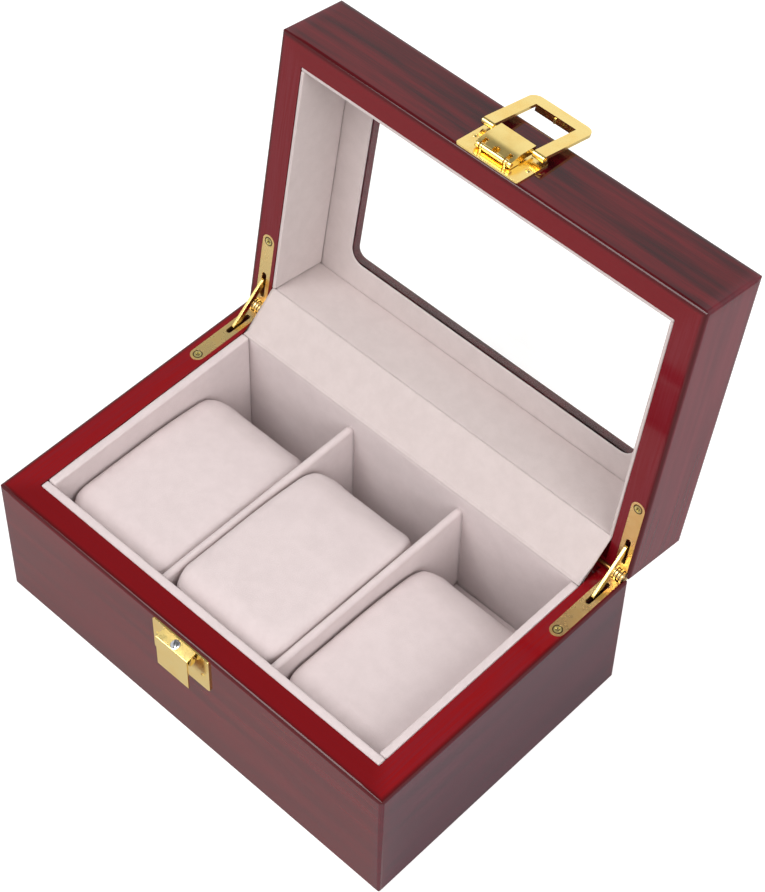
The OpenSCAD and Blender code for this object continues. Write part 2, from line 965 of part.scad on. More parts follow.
// The hook: a foot on the plate, a shoulder, a front open at the bottom and a rolled keeper.
module catch_hook() {
  color(gilt)
  difference() {
    union() {
      latch_section(hook_width)
        polygon([
          [plate_thickness, catch_top - hook_foot],
          [plate_thickness, catch_top],
          [plate_thickness + hook_metal, catch_top],
          [hook_outside, hook_top],
          [hook_outside, hook_free_z],
          [hook_inside, hook_free_z],
          [hook_inside, hook_top - hook_metal],
          [plate_thickness + hook_metal, catch_top - hook_metal],
          [plate_thickness + hook_metal, catch_top - hook_foot]
        ]);
      latch_section(hook_width) {
        translate([keeper_stand, keeper_z + keeper_r])
          circle(keeper_r);
        translate([keeper_stand - hook_metal / 2, keeper_z + keeper_r])
          square([hook_metal, shoulder_z - keeper_z - keeper_r]);
      }
    }
    on_front()
      translate([0, catch_screw_z, plate_thickness])
        cylinder(r = catch_screw_head_r + running_gap, h = 2 * hook_outside);
    on_front()
      translate([-catch_screw_head_r - running_gap, catch_screw_z, plate_thickness])
        cube([2 * (catch_screw_head_r + running_gap), catch_height, 2 * hook_outside]);
  }
}

module catch_screw() {
  color(steel)
  on_front()
    translate([0, catch_screw_z, 0])
      difference() {
        union() {
          translate([0, 0, plate_thickness - nail_length])
            cylinder(r = screw_r, h = nail_length);
          translate([0, 0, plate_thickness])
            cylinder(r1 = catch_screw_head_r, r2 = catch_screw_flat_r, h = catch_screw_head_h);
        }
        translate([0, 0, plate_thickness + catch_screw_head_h])
          cube([driver_slot, 2 * (catch_screw_head_r + overcut), 2 * driver_slot], center = true);
      }
}

module catch_nails() {
  color(gilt)
  on_front()
    for (place = catch_nail_places)
      nail(place);
}

// ---------------------------------------------------------------- clasp on the lid

// The plate with two ears that carry the lever's pin.
module clasp_plate() {
  color(gilt)
  opened()
  difference() {
    union() {
      on_front()
        linear_extrude(plate_thickness)
          translate([0, clasp_z])
            rounded_face(clasp_width, clasp_height, plate_corner_r, plate_corner_r);
      for (side = [left, right])
        translate([side * ear_place, 0, 0])
          latch_section(ear_width) {
            translate([lever_pin_stand, lever_pin_z])
              circle(lever_roll_r - ear_relief);
            translate([0, lever_pin_z - lever_roll_r + ear_inset])
              square([lever_pin_stand, 2 * (lever_roll_r - ear_inset)]);
          }
    }
    clasp_holes();
    rod(latch_pin_r, 2 * lever_width, [latch_x, -box_depth / 2 - lever_pin_stand, lever_pin_z]);
  }
}

module clasp_nails() {
  color(gilt)
  opened()
  on_front()
    for (place = clasp_nail_places)
      nail(place);
}

module lever_pin() {
  color("#a8683a")
  opened()
    rod(latch_pin_r, lever_width, [latch_x, -box_depth / 2 - lever_pin_stand, lever_pin_z]);
}

// Moves a profile in (off the pin, along the lever) to the lever's pin.
module at_lever_pin() {
  translate([lever_pin_stand, lever_pin_z])
    children();
}

// The lever's sheet: rolled round the pin, up a slope and flat to the free edge.
module lever_sheet() {
  front = lever_stand - lever_pin_stand;
  at_lever_pin() {
    circle(lever_roll_r);
    polygon([
      [lever_roll_r - lever_metal, 0],
      [lever_roll_r, 0],
      [front, lever_slope],
      [front, lever_length],
      [front - lever_metal, lever_length],
      [front - lever_metal, lever_slope + lever_metal / 2]
    ]);
  }
}

// One side flange: deep beside the pin and shallow towards the free edge.
module lever_flange() {
  front = lever_stand - lever_pin_stand;
  at_lever_pin() {
    circle(lever_roll_r);
    polygon([
      [-lever_roll_r, 0],
      [-lever_roll_r, lever_slope - flange_relief],
      [-lever_metal / 2, lever_slope + lever_metal],
      [-lever_metal / 2, lever_length],
      [front, lever_length],
      [front, lever_slope],
      [lever_roll_r, 0]
    ]);
  }
}

module clasp_lever() {
  color(gilt)
  opened()
  difference() {
    union() {
      latch_section(lever_width)
        lever_sheet();
      for (side = [left, right])
        translate([side * (lever_width - lever_metal) / 2, 0, 0])
          latch_section(lever_metal)
            lever_flange();
    }
    rod(latch_pin_r + pin_fit, 2 * lever_width, [latch_x, -box_depth / 2 - lever_pin_stand, lever_pin_z]);
    rod(latch_pin_r, 2 * lever_width, [latch_x, -box_depth / 2 - bail_pin_stand, bail_pin_z]);
    for (side = [left, right])
      translate([side * ear_place, 0, 0])
        latch_section(ear_width + 2 * running_gap)
          translate([0, lever_pin_z - 2 * lever_roll_r])
            square([lever_stand + overcut, 4 * lever_roll_r - running_gap]);
    on_front()
      translate([0, lever_pin_z + lever_roll_r / 2, lever_pin_stand])
        cylinder(r = lever_hole_r, h = lever_stand);
  }
}

module bail_pin() {
  color(gilt)
  opened()
    rod(latch_pin_r, bail_width - 2 * bail_pin_inset, [latch_x, -box_depth / 2 - bail_pin_stand, bail_pin_z]);
}

// The bail: two rolled eyes, two arms and a far bar with an inner lip and a thumb bump.
module clasp_bail() {
  inner = bail_width / 2 - bail_arm;
  color(gilt)
  opened()
  translate([latch_x, -box_depth / 2 - bail_pin_stand, bail_pin_z])
  rotate([90 - bail_rest_lean, 0, 0])
  difference() {
    union() {
      translate([0, 0, bail_eye_r - bail_metal])
        linear_extrude(bail_metal)
          difference() {
            union() {
              translate([-bail_width / 2, 0])
                square([bail_width, bail_length / 2]);
              rounded_face(bail_width, bail_length, bail_eye_r, bail_corner_r);
            }
            translate([-inner, -overcut])
              square([2 * inner, bail_inner + overcut]);
          }
      span([-inner - eps, bail_inner - eps, bail_eye_r - bail_lip],
           [inner + eps, bail_inner + bail_lip_metal, bail_eye_r]);
      translate([0, bail_inner, bail_eye_r - bail_lip])
        cylinder(r = bail_lip_metal / 2, h = bail_lip - bail_metal / 2);
      for (side = [left, right])
        rod(bail_eye_r, bail_arm, [side * (bail_width - bail_arm) / 2, 0, 0]);
    }
    rod(latch_pin_r + pin_fit, 2 * bail_width, [0, 0, 0]);
  }
}

base_front_wall();
base_back_wall();
base_left_wall();
base_right_wall();
base_bottom_panel();
base_felt();
base_lining_front();
base_lining_back();
base_lining_left();
base_lining_right();
base_floor_pad();
divider_left();
divider_right();
hinge_leaf_base_left();
hinge_leaf_base_right();
hinge_pins();
hinge_screws_base();
catch_plate();
catch_hook();
catch_screw();
catch_nails();
lid_front_wall();
lid_back_wall();
lid_left_wall();
lid_right_wall();
lid_top_panel();
window_glass();
lid_lining_front();
lid_lining_back();
lid_lining_left();
lid_lining_right();
lid_ceiling_card();
hinge_leaf_lid_left();
hinge_leaf_lid_right();
hinge_screws_lid();
clasp_plate();
clasp_nails();
lever_pin();
clasp_lever();
bail_pin();
clasp_bail();
stay_left();
stay_right();
cushion_cover_left();
cushion_cover_middle();
cushion_cover_right();
cushion_filling_left();
cushion_filling_middle();
cushion_filling_right();
hinge_flap();
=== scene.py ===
"""A lacquered watch box with a glazed lid, three cushions and gilt fittings.

Lengths are in millimetres until a finished shell becomes a mesh in metres.  The front
faces -Y, the base stands on z = 0, and pieces of the lid are worked out with the lid
shut and then turned to where it stands open.
"""

from __future__ import annotations

import json
import logging
import math
from dataclasses import dataclass, field
from enum import Enum

import bpy
import numpy as np
from mathutils import Matrix, Vector

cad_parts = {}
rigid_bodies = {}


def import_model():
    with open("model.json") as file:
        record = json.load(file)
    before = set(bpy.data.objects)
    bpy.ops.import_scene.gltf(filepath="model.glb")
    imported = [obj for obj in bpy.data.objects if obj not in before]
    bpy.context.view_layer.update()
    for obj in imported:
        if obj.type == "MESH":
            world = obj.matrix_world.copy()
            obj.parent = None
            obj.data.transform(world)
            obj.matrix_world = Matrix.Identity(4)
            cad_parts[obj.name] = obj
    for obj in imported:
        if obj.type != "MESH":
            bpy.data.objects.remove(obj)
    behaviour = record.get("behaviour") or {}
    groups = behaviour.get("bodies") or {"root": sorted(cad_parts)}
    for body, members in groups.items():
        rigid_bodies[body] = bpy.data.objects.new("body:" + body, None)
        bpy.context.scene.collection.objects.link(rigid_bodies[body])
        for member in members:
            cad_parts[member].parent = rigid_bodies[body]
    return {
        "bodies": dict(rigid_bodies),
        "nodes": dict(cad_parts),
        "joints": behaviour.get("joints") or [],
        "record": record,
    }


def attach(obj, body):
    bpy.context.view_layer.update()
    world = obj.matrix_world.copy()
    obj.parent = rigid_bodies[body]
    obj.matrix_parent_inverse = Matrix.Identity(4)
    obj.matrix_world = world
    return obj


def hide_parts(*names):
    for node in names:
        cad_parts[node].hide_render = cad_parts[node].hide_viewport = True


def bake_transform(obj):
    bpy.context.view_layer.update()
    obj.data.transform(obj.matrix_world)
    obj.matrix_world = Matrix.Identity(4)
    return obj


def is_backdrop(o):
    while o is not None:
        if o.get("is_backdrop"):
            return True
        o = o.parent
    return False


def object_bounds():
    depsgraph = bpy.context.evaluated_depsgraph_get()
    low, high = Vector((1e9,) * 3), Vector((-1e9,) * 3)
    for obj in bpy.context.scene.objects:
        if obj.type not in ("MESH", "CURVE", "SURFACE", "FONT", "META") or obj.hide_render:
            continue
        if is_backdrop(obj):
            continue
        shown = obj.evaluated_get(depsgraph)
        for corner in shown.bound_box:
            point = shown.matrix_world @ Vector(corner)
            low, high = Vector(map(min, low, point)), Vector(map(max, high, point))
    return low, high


LOG = logging.getLogger("watch_box")
MM = 0.001
QUARTER = math.pi / 2
Colour = tuple[float, float, float]
Place = tuple[float, float, float]
Socket = bpy.types.NodeSocket


class Axis(Enum):
    """The direction that a board, a grain or a bar runs in."""

    X = 0
    Y = 1
    Z = 2


# ---------------------------------------------------------------------- meshes


def shown(name: str, data: bpy.types.ID) -> bpy.types.Object:
    """A new object in the scene that shows some data, at the origin."""
    thing = bpy.data.objects.new(name, data)
    bpy.context.scene.collection.objects.link(thing)
    return thing


def triples(items: bpy.types.bpy_prop_collection, name: str) -> np.ndarray:
    """A property of three numbers of each vertex, as an array of (vertex, xyz)."""
    values = np.empty(len(items) * 3, np.float32)
    items.foreach_get(name, values)
    return values.reshape(-1, 3)


def smooth(mesh: bpy.types.Mesh) -> None:
    """Shades all of a mesh's faces smooth."""
    mesh.polygons.foreach_set("use_smooth", np.ones(len(mesh.polygons), bool))
    mesh.update()


def modify(piece: bpy.types.Object, name: str, kind: str, **settings: object) -> bpy.types.Modifier:
    """Adds a modifier of a kind to a piece and gives it its settings."""
    modifier = piece.modifiers.new(name, kind)
    for key, value in settings.items():
        setattr(modifier, key, value)
    return modifier


def settled(piece: bpy.types.Object) -> None:
    """Applies all of a piece's modifiers to its mesh."""
    evaluated = piece.evaluated_get(bpy.context.evaluated_depsgraph_get())
    mesh = bpy.data.meshes.new_from_object(evaluated)
    piece.modifiers.clear()
    piece.data = mesh


def rounded(piece: bpy.types.Object, width: float) -> None:
    """Rounds a piece's sharp edges over a width in millimetres."""
    modify(
        piece, "Rounded edges", "BEVEL",
        width=width * MM, segments=2, limit_method="ANGLE", angle_limit=math.radians(35),
    )


@dataclass
class Shell:
    """Points and faces of closed surfaces, in millimetres."""

    points: np.ndarray
    quads: np.ndarray
    triangles: np.ndarray = field(default_factory=lambda: np.zeros((0, 3), int))

    def outward(self) -> "Shell":
        """The same shell with its faces pointing out.

        The enclosed volume is the sum over the faces of the corner triple products.
        Where it is negative the faces point inwards, and their order is reversed.

        Returns:
            A shell with a positive volume.
        """
        fans = [self.triangles, self.quads[:, [0, 1, 2]], self.quads[:, [0, 2, 3]]]
        corners = self.points[np.concatenate(fans)]
        a, b, c = corners[:, 0], corners[:, 1], corners[:, 2]
        if np.einsum("ij,ij->i", a, np.cross(b, c)).sum() >= 0:
            return self
        return Shell(self.points, self.quads[:, ::-1], self.triangles[:, ::-1])

    def piece(self, name: str) -> bpy.types.Object:
        """Makes the shell a smooth-shaded object in the scene.

        Args:
            name: The object's name.

        Returns:
            The object, at the origin with its place in its mesh.
        """
        mesh = bpy.data.meshes.new(name)
        faces = self.quads.tolist() + self.triangles.tolist()
        mesh.from_pydata((self.points * MM).tolist(), [], faces)
        smooth(mesh)
        return shown(name, mesh)


def together(*shells: Shell) -> Shell:
    """Several closed shells as one, with the points of each numbered on."""
    starts = np.cumsum([0] + [len(shell.points) for shell in shells[:-1]])
    return Shell(
        np.concatenate([shell.points for shell in shells]),
        np.concatenate([shell.quads + start for shell, start in zip(shells, starts)]),
        np.concatenate([shell.triangles + start for shell, start in zip(shells, starts)]),
    )


def grid_quads(rows: int, columns: int, closed_rows: bool, closed_columns: bool) -> np.ndarray:
    """Quads between neighbouring points of a grid that is stored row by row.

    Args:
        rows: Number of rows.
        columns: Number of points in a row.
        closed_rows: Whether the last row joins the first.
        closed_columns: Whether a row's last point joins its first.

    Returns:
        An array of four point numbers a face.
    """
    r, c = np.meshgrid(
        np.arange(rows if closed_rows else rows - 1),
        np.arange(columns if closed_columns else columns - 1),
        indexing="ij",
    )
    below, beside = (r + 1) % rows, (c + 1) % columns
    corners = [r * columns + c, below * columns + c, below * columns + beside, r * columns + beside]
    return np.stack(corners, axis=-1).reshape(-1, 4)


def tube(sections: np.ndarray) -> Shell:
    """A closed tube through sections, with a fan of triangles over each end.

    Args:
        sections: Array of (section, point round it, xyz).

    Returns:
        The shell, facing outwards.
    """
    count, around, _ = sections.shape
    points = np.concatenate([sections.reshape(-1, 3), sections[[0, -1]].mean(axis=1)])
    ring = np.arange(around)
    after = (ring + 1) % around
    last = (count - 1) * around
    caps = [
        np.stack([np.full(around, count * around), after, ring], axis=1),
        np.stack([np.full(around, count * around + 1), last + ring, last + after], axis=1),
    ]
    quads = grid_quads(count, around, False, True)[:, ::-1]
    return Shell(points, quads, np.concatenate(caps)).outward()


def loop(sections: np.ndarray) -> Shell:
    """A ring of closed sections whose last joins the first.

    Args:
        sections: Array of (section, point round it, xyz).

    Returns:
        The shell, facing outwards.
    """
    count, around, _ = sections.shape
    return Shell(sections.reshape(-1, 3), grid_quads(count, around, True, True)).outward()


def swept(outline: np.ndarray, stations: np.ndarray, along: Axis) -> np.ndarray:
    """Sections of an outline that is carried along an axis.

    Args:
        outline: Array of (..., point, 2), one outline for all stations or one for each.
        stations: Places along the axis.
        along: The axis; the outline lies in the other two, in their order.

    Returns:
        Array of (station, point, xyz).
    """
    sections = np.empty((len(stations), outline.shape[-2], 3))
    sections[..., along.value] = stations[:, None]
    sections[..., [k for k in range(3) if k != along.value]] = outline
    return sections


def circle(count: int = 32) -> np.ndarray:
    """Points evenly round a circle of radius 1."""
    turn = np.linspace(0, 2 * math.pi, count + 1)[:-1]
    return np.stack([np.cos(turn), np.sin(turn)], axis=1)


def steps(length: float, spacing: float) -> int:
    """How many even steps no wider than spacing cover a length."""
    return max(1, math.ceil(length / spacing))


@dataclass(frozen=True)
class RoundedOutline:
    """A closed rectangle outline with round corners, described from its corner centres.

    half_a and half_b are the half lengths of the straight sides, so the outline is the
    rectangle of that size grown by the corner radius.
    """

    half_a: float
    half_b: float
    steps_a: int
    steps_b: int
    corner_steps: int = 6

    def at(self, radius: np.ndarray | float) -> np.ndarray:
        """Points round the outline at one or more radii.

        Each corner turns through a quarter circle about its centre, and each side is
        stepped evenly between two corner centres.

        Args:
            radius: Corner radius, or an array of them.

        Returns:
            Array of (..., point, 2), one outline for each radius.
        """
        turn = np.linspace(0, QUARTER, self.corner_steps + 1)
        centres = np.array([[1, 1], [-1, 1], [-1, -1], [1, -1]]) * [self.half_a, self.half_b]
        middles, outs = [], []
        for k, centre in enumerate(centres):
            angle = turn + k * QUARTER
            count = self.steps_a if k % 2 == 0 else self.steps_b
            share = (np.arange(1, count) / count)[:, None]
            middles += [np.tile(centre, (len(turn), 1)), centre + (centres[(k + 1) % 4] - centre) * share]
            out = np.stack([np.cos(angle), np.sin(angle)], axis=1)
            outs += [out, np.tile(out[-1], (count - 1, 1))]
        middle, out = np.concatenate(middles), np.concatenate(outs)
        return middle + np.asarray(radius, float)[..., None, None] * out


def soft_block(low: np.ndarray, high: np.ndarray, edge: float, along: Axis, spacing: float = 2.0) -> Shell:
    """A block whose edges are all rounded to one radius.

    Rounded rectangles stand along the chosen axis.  At each end their corner radius
    follows the sine of a quarter turn and their place its cosine, which rounds the end.

    Args:
        low: Lowest corner.
        high: Highest corner.
        edge: Radius of the edges.
        along: Axis that the sections are stacked on.
        spacing: Widest step between points.

    Returns:
        The shell, facing outwards.
    """
    k = along.value
    a, b = (k + 1) % 3, (k + 2) % 3
    size = high - low
    edge = min(edge, float(size.min()) * 0.49)
    sides = size - 2 * edge
    outline = RoundedOutline(sides[a] / 2, sides[b] / 2, steps(sides[a], spacing), steps(sides[b], spacing))
    turn = np.linspace(0.04, QUARTER, 6)
    rise = edge * (1 - np.cos(turn))
    middle = np.linspace(low[k] + edge, high[k] - edge, steps(sides[k], spacing) + 1)[1:-1]
    place = np.concatenate([low[k] + rise, middle, high[k] - rise[::-1]])
    swell = np.concatenate([np.sin(turn), np.ones(len(middle)), np.sin(turn[::-1])])
    rings = outline.at(edge * swell)
    sections = np.empty(rings.shape[:2] + (3,))
    sections[..., k] = place[:, None]
    sections[..., [a, b]] = rings + ((low + high) / 2)[[a, b]]
    return tube(sections)


def hand_work(points: np.ndarray, wave: float, seed: int) -> np.ndarray:
    """Smooth, seeded unevenness between -1 and 1 at each point.

    It is the mean of eight sine waves that run in random directions, with lengths near
    the given one.

    Args:
        points: Array of (point, xyz).
        wave: Typical distance from one rise to the next.
        seed: Number that fixes the directions.

    Returns:
        One value a point.
    """
    chance = np.random.default_rng(seed)
    way = chance.normal(size=(8, 3))
    way /= np.linalg.norm(way, axis=1)[:, None]
    pace = 2 * math.pi / (wave * chance.uniform(0.7, 1.5, 8))
    phase = chance.uniform(0, 2 * math.pi, 8)
    return np.sin(points @ (way * pace[:, None]).T + phase).mean(axis=1) * 1.6


def uneven(piece: bpy.types.Object, depth: float, wave: float, seed: int) -> None:
    """Presses a piece in along its normals by a smooth, seeded amount.

    Args:
        piece: The piece, whose mesh is changed.
        depth: Greatest depth, in millimetres.
        wave: Typical distance from one rise to the next.
        seed: Number that fixes the pattern.
    """
    mesh = piece.data
    places, normals = triples(mesh.vertices, "co"), triples(mesh.vertices, "normal")
    inward = depth * (0.5 - 0.5 * hand_work(places / MM, wave, seed)).clip(0, 1)
    mesh.vertices.foreach_set("co", (places - normals * inward[:, None] * MM).ravel())
    mesh.update()


# ---------------------------------------------------------------------- frame


@dataclass(frozen=True)
class LidHinge:
    """The line that the lid turns about, and how far it stands open."""

    y: float
    z: float
    angle: float

    @staticmethod
    def of(joints: list[dict]) -> "LidHinge":
        """The hinge that the record's joints describe.

        Args:
            joints: The record's joints.

        Returns:
            The hinge, in millimetres and radians.
        """
        joint = next(j for j in joints if j["name"] == "lid_hinge")
        _, y, z = (v / MM for v in joint["pos_m"])
        return LidHinge(y, z, math.radians(joint["range_deg"][1]))

    def turned(self, points: np.ndarray, angle: float) -> np.ndarray:
        """Points turned about the hinge line by an angle, by the right-hand rule about X."""
        y, z = points[..., 1] - self.y, points[..., 2] - self.z
        c, s = math.cos(angle), math.sin(angle)
        return np.stack([points[..., 0], self.y + y * c - z * s, self.z + y * s + z * c], axis=-1)

    def opened(self, shell: Shell) -> Shell:
        """A shell of the shut lid, turned to where the lid stands open."""
        return Shell(self.turned(shell.points, -self.angle), shell.quads, shell.triangles)


class Model:
    """The loaded frame: its nodes, its bodies and the sizes that pieces are made to."""

    def __init__(self) -> None:
        """Loads the frame and notes where the lid turns."""
        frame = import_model()
        self.nodes = frame["nodes"]
        self.hinge = LidHinge.of(frame["joints"])
        bodies = frame["record"]["behaviour"]["bodies"]
        self.body_of = {node: body for body, nodes in bodies.items() for node in nodes}
        self.cad_bounds = [list(corner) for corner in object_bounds()]

    def box(self, node: str, shut: bool = False) -> tuple[np.ndarray, np.ndarray]:
        """A node's lowest and highest corner.

        Args:
            node: Name of the node.
            shut: Whether it is a piece of the lid, to be measured with the lid shut.

        Returns:
            The two corners, in millimetres.
        """
        points = triples(self.nodes[node].data.vertices, "co").astype(float) / MM
        if shut:
            points = self.hinge.turned(points, self.hinge.angle)
        return points.min(axis=0), points.max(axis=0)

    def stand_in(self, piece: bpy.types.Object, finish: "Finish", *nodes: str) -> bpy.types.Object:
        """Dresses a piece that stands for nodes and lets it ride with them.

        Args:
            piece: The new piece.
            finish: What it is covered with.
            *nodes: Nodes that it stands for; the first one's body carries it.

        Returns:
            The piece.
        """
        finish.dress(piece)
        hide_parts(*nodes)
        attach(piece, self.body_of[nodes[0]])
        LOG.info("%s stands for %s", piece.name, ", ".join(nodes))
        return piece

    def dress(self, node: str, finish: "Finish", round_over: float = 0.0) -> None:
        """Gives a node its finish and smooth shading, and slightly rounded edges where round_over is given.

        Args:
            node: Name of the node.
            finish: What it is made of.
            round_over: Width of the rounding along its sharp edges, in millimetres.
        """
        piece = self.nodes[node]
        finish.dress(piece)
        smooth(piece.data)
        modify(piece, "Weld", "WELD", merge_threshold=1e-6)
        if round_over:
            modify(piece, "Flat faces", "DECIMATE", decimate_type="DISSOLVE", angle_limit=math.radians(0.5))
            rounded(piece, round_over)
        split = math.radians(50 if round_over else 30)
        modify(piece, "Sharp edges", "EDGE_SPLIT", split_angle=split)
        modify(piece, "Flat shading", "WEIGHTED_NORMAL", weight=80, keep_sharp=True)
        LOG.info("%s dressed in %s", node, finish.name)


# ---------------------------------------------------------------------- shading


class Graph:
    """Puts nodes into one shader tree and links them."""

    def __init__(self, tree: bpy.types.NodeTree) -> None:
        """Keeps the tree that the nodes go into."""
        self.tree = tree

    def add(self, kind: str, inputs: dict | None = None, **settings: object) -> bpy.types.Node:
        """Adds one node.

        Args:
            kind: The node's type name.
            inputs: A value or a socket for each input, by name or number.
            **settings: Values for the node's own properties.

        Returns:
            The node.
        """
        node = self.tree.nodes.new(kind)
        for key, value in settings.items():
            setattr(node, key, value)
        return self.feed(node, inputs or {})

    def feed(self, node: bpy.types.Node, inputs: dict) -> bpy.types.Node:
        """Gives a node's inputs, by name or number, a value or a socket each."""
        for key, value in inputs.items():
            if isinstance(value, Socket):
                self.tree.links.new(value, node.inputs[key])
            else:
                node.inputs[key].default_value = value
        return node

    def math(self, operation: str, *values: object) -> Socket:
        """One arithmetic step on sockets or numbers."""
        return self.add("ShaderNodeMath", dict(enumerate(values)), operation=operation).outputs[0]

    def blend(self, share: object, first: object, second: object) -> Socket:
        """A colour between two others, the second where share is 1."""
        inputs = {0: share, 6: colour(first), 7: colour(second)}
        return self.add("ShaderNodeMix", inputs, data_type="RGBA").outputs[2]

    def between(self, value: object, low: object, high: object) -> Socket:
        """A smooth step that rises from 0 at low to 1 at high, and falls where low > high."""
        inputs = {0: value, 1: low, 2: high}
        node = self.add("ShaderNodeMapRange", inputs, interpolation_type="SMOOTHSTEP")
        return node.outputs[0]

    def noise(self, place: Socket, scale: object, detail: float = 2.0, **more: float) -> Socket:
        """Smooth noise between 0 and 1, of a scale given per metre."""
        inputs = {"Vector": place, "Scale": scale, "Detail": detail}
        inputs.update({key.title(): value for key, value in more.items()})
        return self.add("ShaderNodeTexNoise", inputs).outputs[0]

    def bump(self, height: object, depth: float, normal: object = None) -> Socket:
        """A normal that follows a height between 0 and 1, of the given depth in mm."""
        inputs = {"Height": height, "Distance": depth * MM, "Strength": 1.0}
        if normal is not None:
            inputs["Normal"] = normal
        return self.add("ShaderNodeBump", inputs).outputs[0]


def colour(value: object) -> object:
    """A colour with its fourth part, or a socket as it is."""
    return (*value, 1.0) if isinstance(value, tuple) and len(value) == 3 else value


def effect(
    name: str, inputs: dict[str, str], outputs: dict[str, str]
) -> tuple[Graph, bpy.types.Node, bpy.types.Node]:
    """Starts a shader node group.

    Args:
        name: The group's name.
        inputs: Kind of each input socket, by name: Float, Vector or Color.
        outputs: Kind of each output socket, by name.

    Returns:
        The group's graph, its input node and its output node.
    """
    tree = bpy.data.node_groups.new(name, "ShaderNodeTree")
    for way, sockets in (("INPUT", inputs), ("OUTPUT", outputs)):
        for label, kind in sockets.items():
            tree.interface.new_socket(label, in_out=way, socket_type=f"NodeSocket{kind}")
    graph = Graph(tree)
    return graph, graph.add("NodeGroupInput"), graph.add("NodeGroupOutput")


@dataclass
class Effects:
    """The node groups that the finishes share.

    Scales are per metre, along the grain and across it where there are three.  The
    grain sways by sway and the colours of two sides blend over side_blend, both in mm.
    The pairs are where a noise begins to show and where it shows fully.
    """

    sway: float = 6.0
    sway_scale: float = 14.0
    band_scale: Place = (14.0, 230.0, 230.0)
    pore_scale: Place = (45.0, 1500.0, 1500.0)
    bands: tuple[float, float] = (0.28, 0.70)
    pores: tuple[float, float] = (0.35, 0.65)
    side_blend: float = 6.0
    smears: tuple[float, float] = (0.35, 0.75)
    lean_scale: float = 170.0
    leans: tuple[float, float] = (0.3, 0.7)

    def __post_init__(self) -> None:
        """Builds every group once."""
        self.grain = self._grain()
        self.edges = self._edges()
        self.handling = self._handling()
        self.pile = self._pile()

    def _grain(self) -> bpy.types.NodeTree:
        """Streaks along X: a broad figure of dark bands and fine pores between them."""
        graph, given, out = effect("wood grain", {"Place": "Vector"}, {"Figure": "Float", "Pores": "Float"})
        place = given.outputs["Place"]
        sway = graph.math("MULTIPLY", graph.noise(place, self.sway_scale, 1.0), self.sway * MM)
        offset = graph.add("ShaderNodeCombineXYZ", {1: sway}).outputs[0]
        swayed = graph.add("ShaderNodeVectorMath", {0: place, 1: offset}, operation="ADD").outputs[0]
        bands = graph.add("ShaderNodeMapping", {0: swayed, 3: self.band_scale}).outputs[0]
        pores = graph.add("ShaderNodeMapping", {0: swayed, 3: self.pore_scale}).outputs[0]
        broad = graph.noise(bands, 1.0, 3.0, roughness=0.55)
        fine = graph.noise(pores, 1.0, 2.0, roughness=0.7)
        figure, fine = graph.between(broad, *self.bands), graph.between(fine, *self.pores)
        graph.feed(out, {"Figure": figure, "Pores": fine})
        return graph.tree

    def _edges(self) -> bpy.types.NodeTree:
        """How near a point of a box's outside is to one of the box's edges.

        The depths below the three pairs of faces are worked out.  The smallest is zero on
        the outside, so the middle one is the way to the nearest edge.
        """
        inputs = {"Place": "Vector", "Half Size": "Vector", "Low": "Float", "High": "Float", "Width": "Float"}
        graph, given, out = effect("box edges", inputs, {"Mask": "Float", "Side": "Float"})
        x, y, z = graph.add("ShaderNodeSeparateXYZ", {0: given.outputs["Place"]}).outputs
        half_x, half_y, _ = graph.add("ShaderNodeSeparateXYZ", {0: given.outputs["Half Size"]}).outputs
        a = graph.math("SUBTRACT", half_x, graph.math("ABSOLUTE", x))
        b = graph.math("SUBTRACT", half_y, graph.math("ABSOLUTE", y))
        below = graph.math("SUBTRACT", given.outputs["High"], z)
        above = graph.math("SUBTRACT", z, given.outputs["Low"])
        c = graph.math("MINIMUM", below, above)
        lesser, greater = graph.math("MINIMUM", a, b), graph.math("MAXIMUM", a, b)
        median = graph.math("MAXIMUM", lesser, graph.math("MINIMUM", greater, c))
        width = given.outputs["Width"]
        # Share of painted shade near the box's edges, used for the dark line along the rim.
        near = graph.between(median, width, graph.math("MULTIPLY", width, 0.25))
        blend = self.side_blend * MM
        side = graph.between(graph.math("SUBTRACT", b, a), -blend, blend)
        graph.feed(out, {"Mask": near, "Side": side})
        return graph.tree

    def _handling(self) -> bpy.types.NodeTree:
        """Faint smears, fine scratches and low waves, as handling and polishing leave."""
        graph, given, out = effect(
            "handling", {"Place": "Vector", "Scale": "Float"}, {"Smears": "Float", "Waves": "Float"}
        )
        place, scale = given.outputs["Place"], given.outputs["Scale"]
        smears = graph.noise(place, scale, 5.0, roughness=0.65)
        waves = graph.noise(place, graph.math("MULTIPLY", scale, 0.4), 1.0)
        graph.feed(out, {"Smears": graph.between(smears, *self.smears), "Waves": waves})
        return graph.tree

    def _pile(self) -> bpy.types.NodeTree:
        """Short pile: single fibre ends as height, and patches that lean another way."""
        graph, given, out = effect(
            "pile", {"Place": "Vector", "Fibres": "Float"}, {"Height": "Float", "Lean": "Float"}
        )
        place = given.outputs["Place"]
        fibres = graph.noise(place, given.outputs["Fibres"], 3.0, roughness=0.7)
        lean = graph.noise(place, self.lean_scale, 5.0, roughness=0.68)
        graph.feed(out, {"Height": fibres, "Lean": graph.between(lean, *self.leans)})
        return graph.tree

    def handled(self, graph: Graph, place: Socket, scale: float) -> tuple[Socket, Socket]:
        """The smears and the waves of handling, at a scale given per metre."""
        handling = graph.add("ShaderNodeGroup", {"Place": place, "Scale": scale}, node_tree=self.handling)
        return handling.outputs["Smears"], handling.outputs["Waves"]


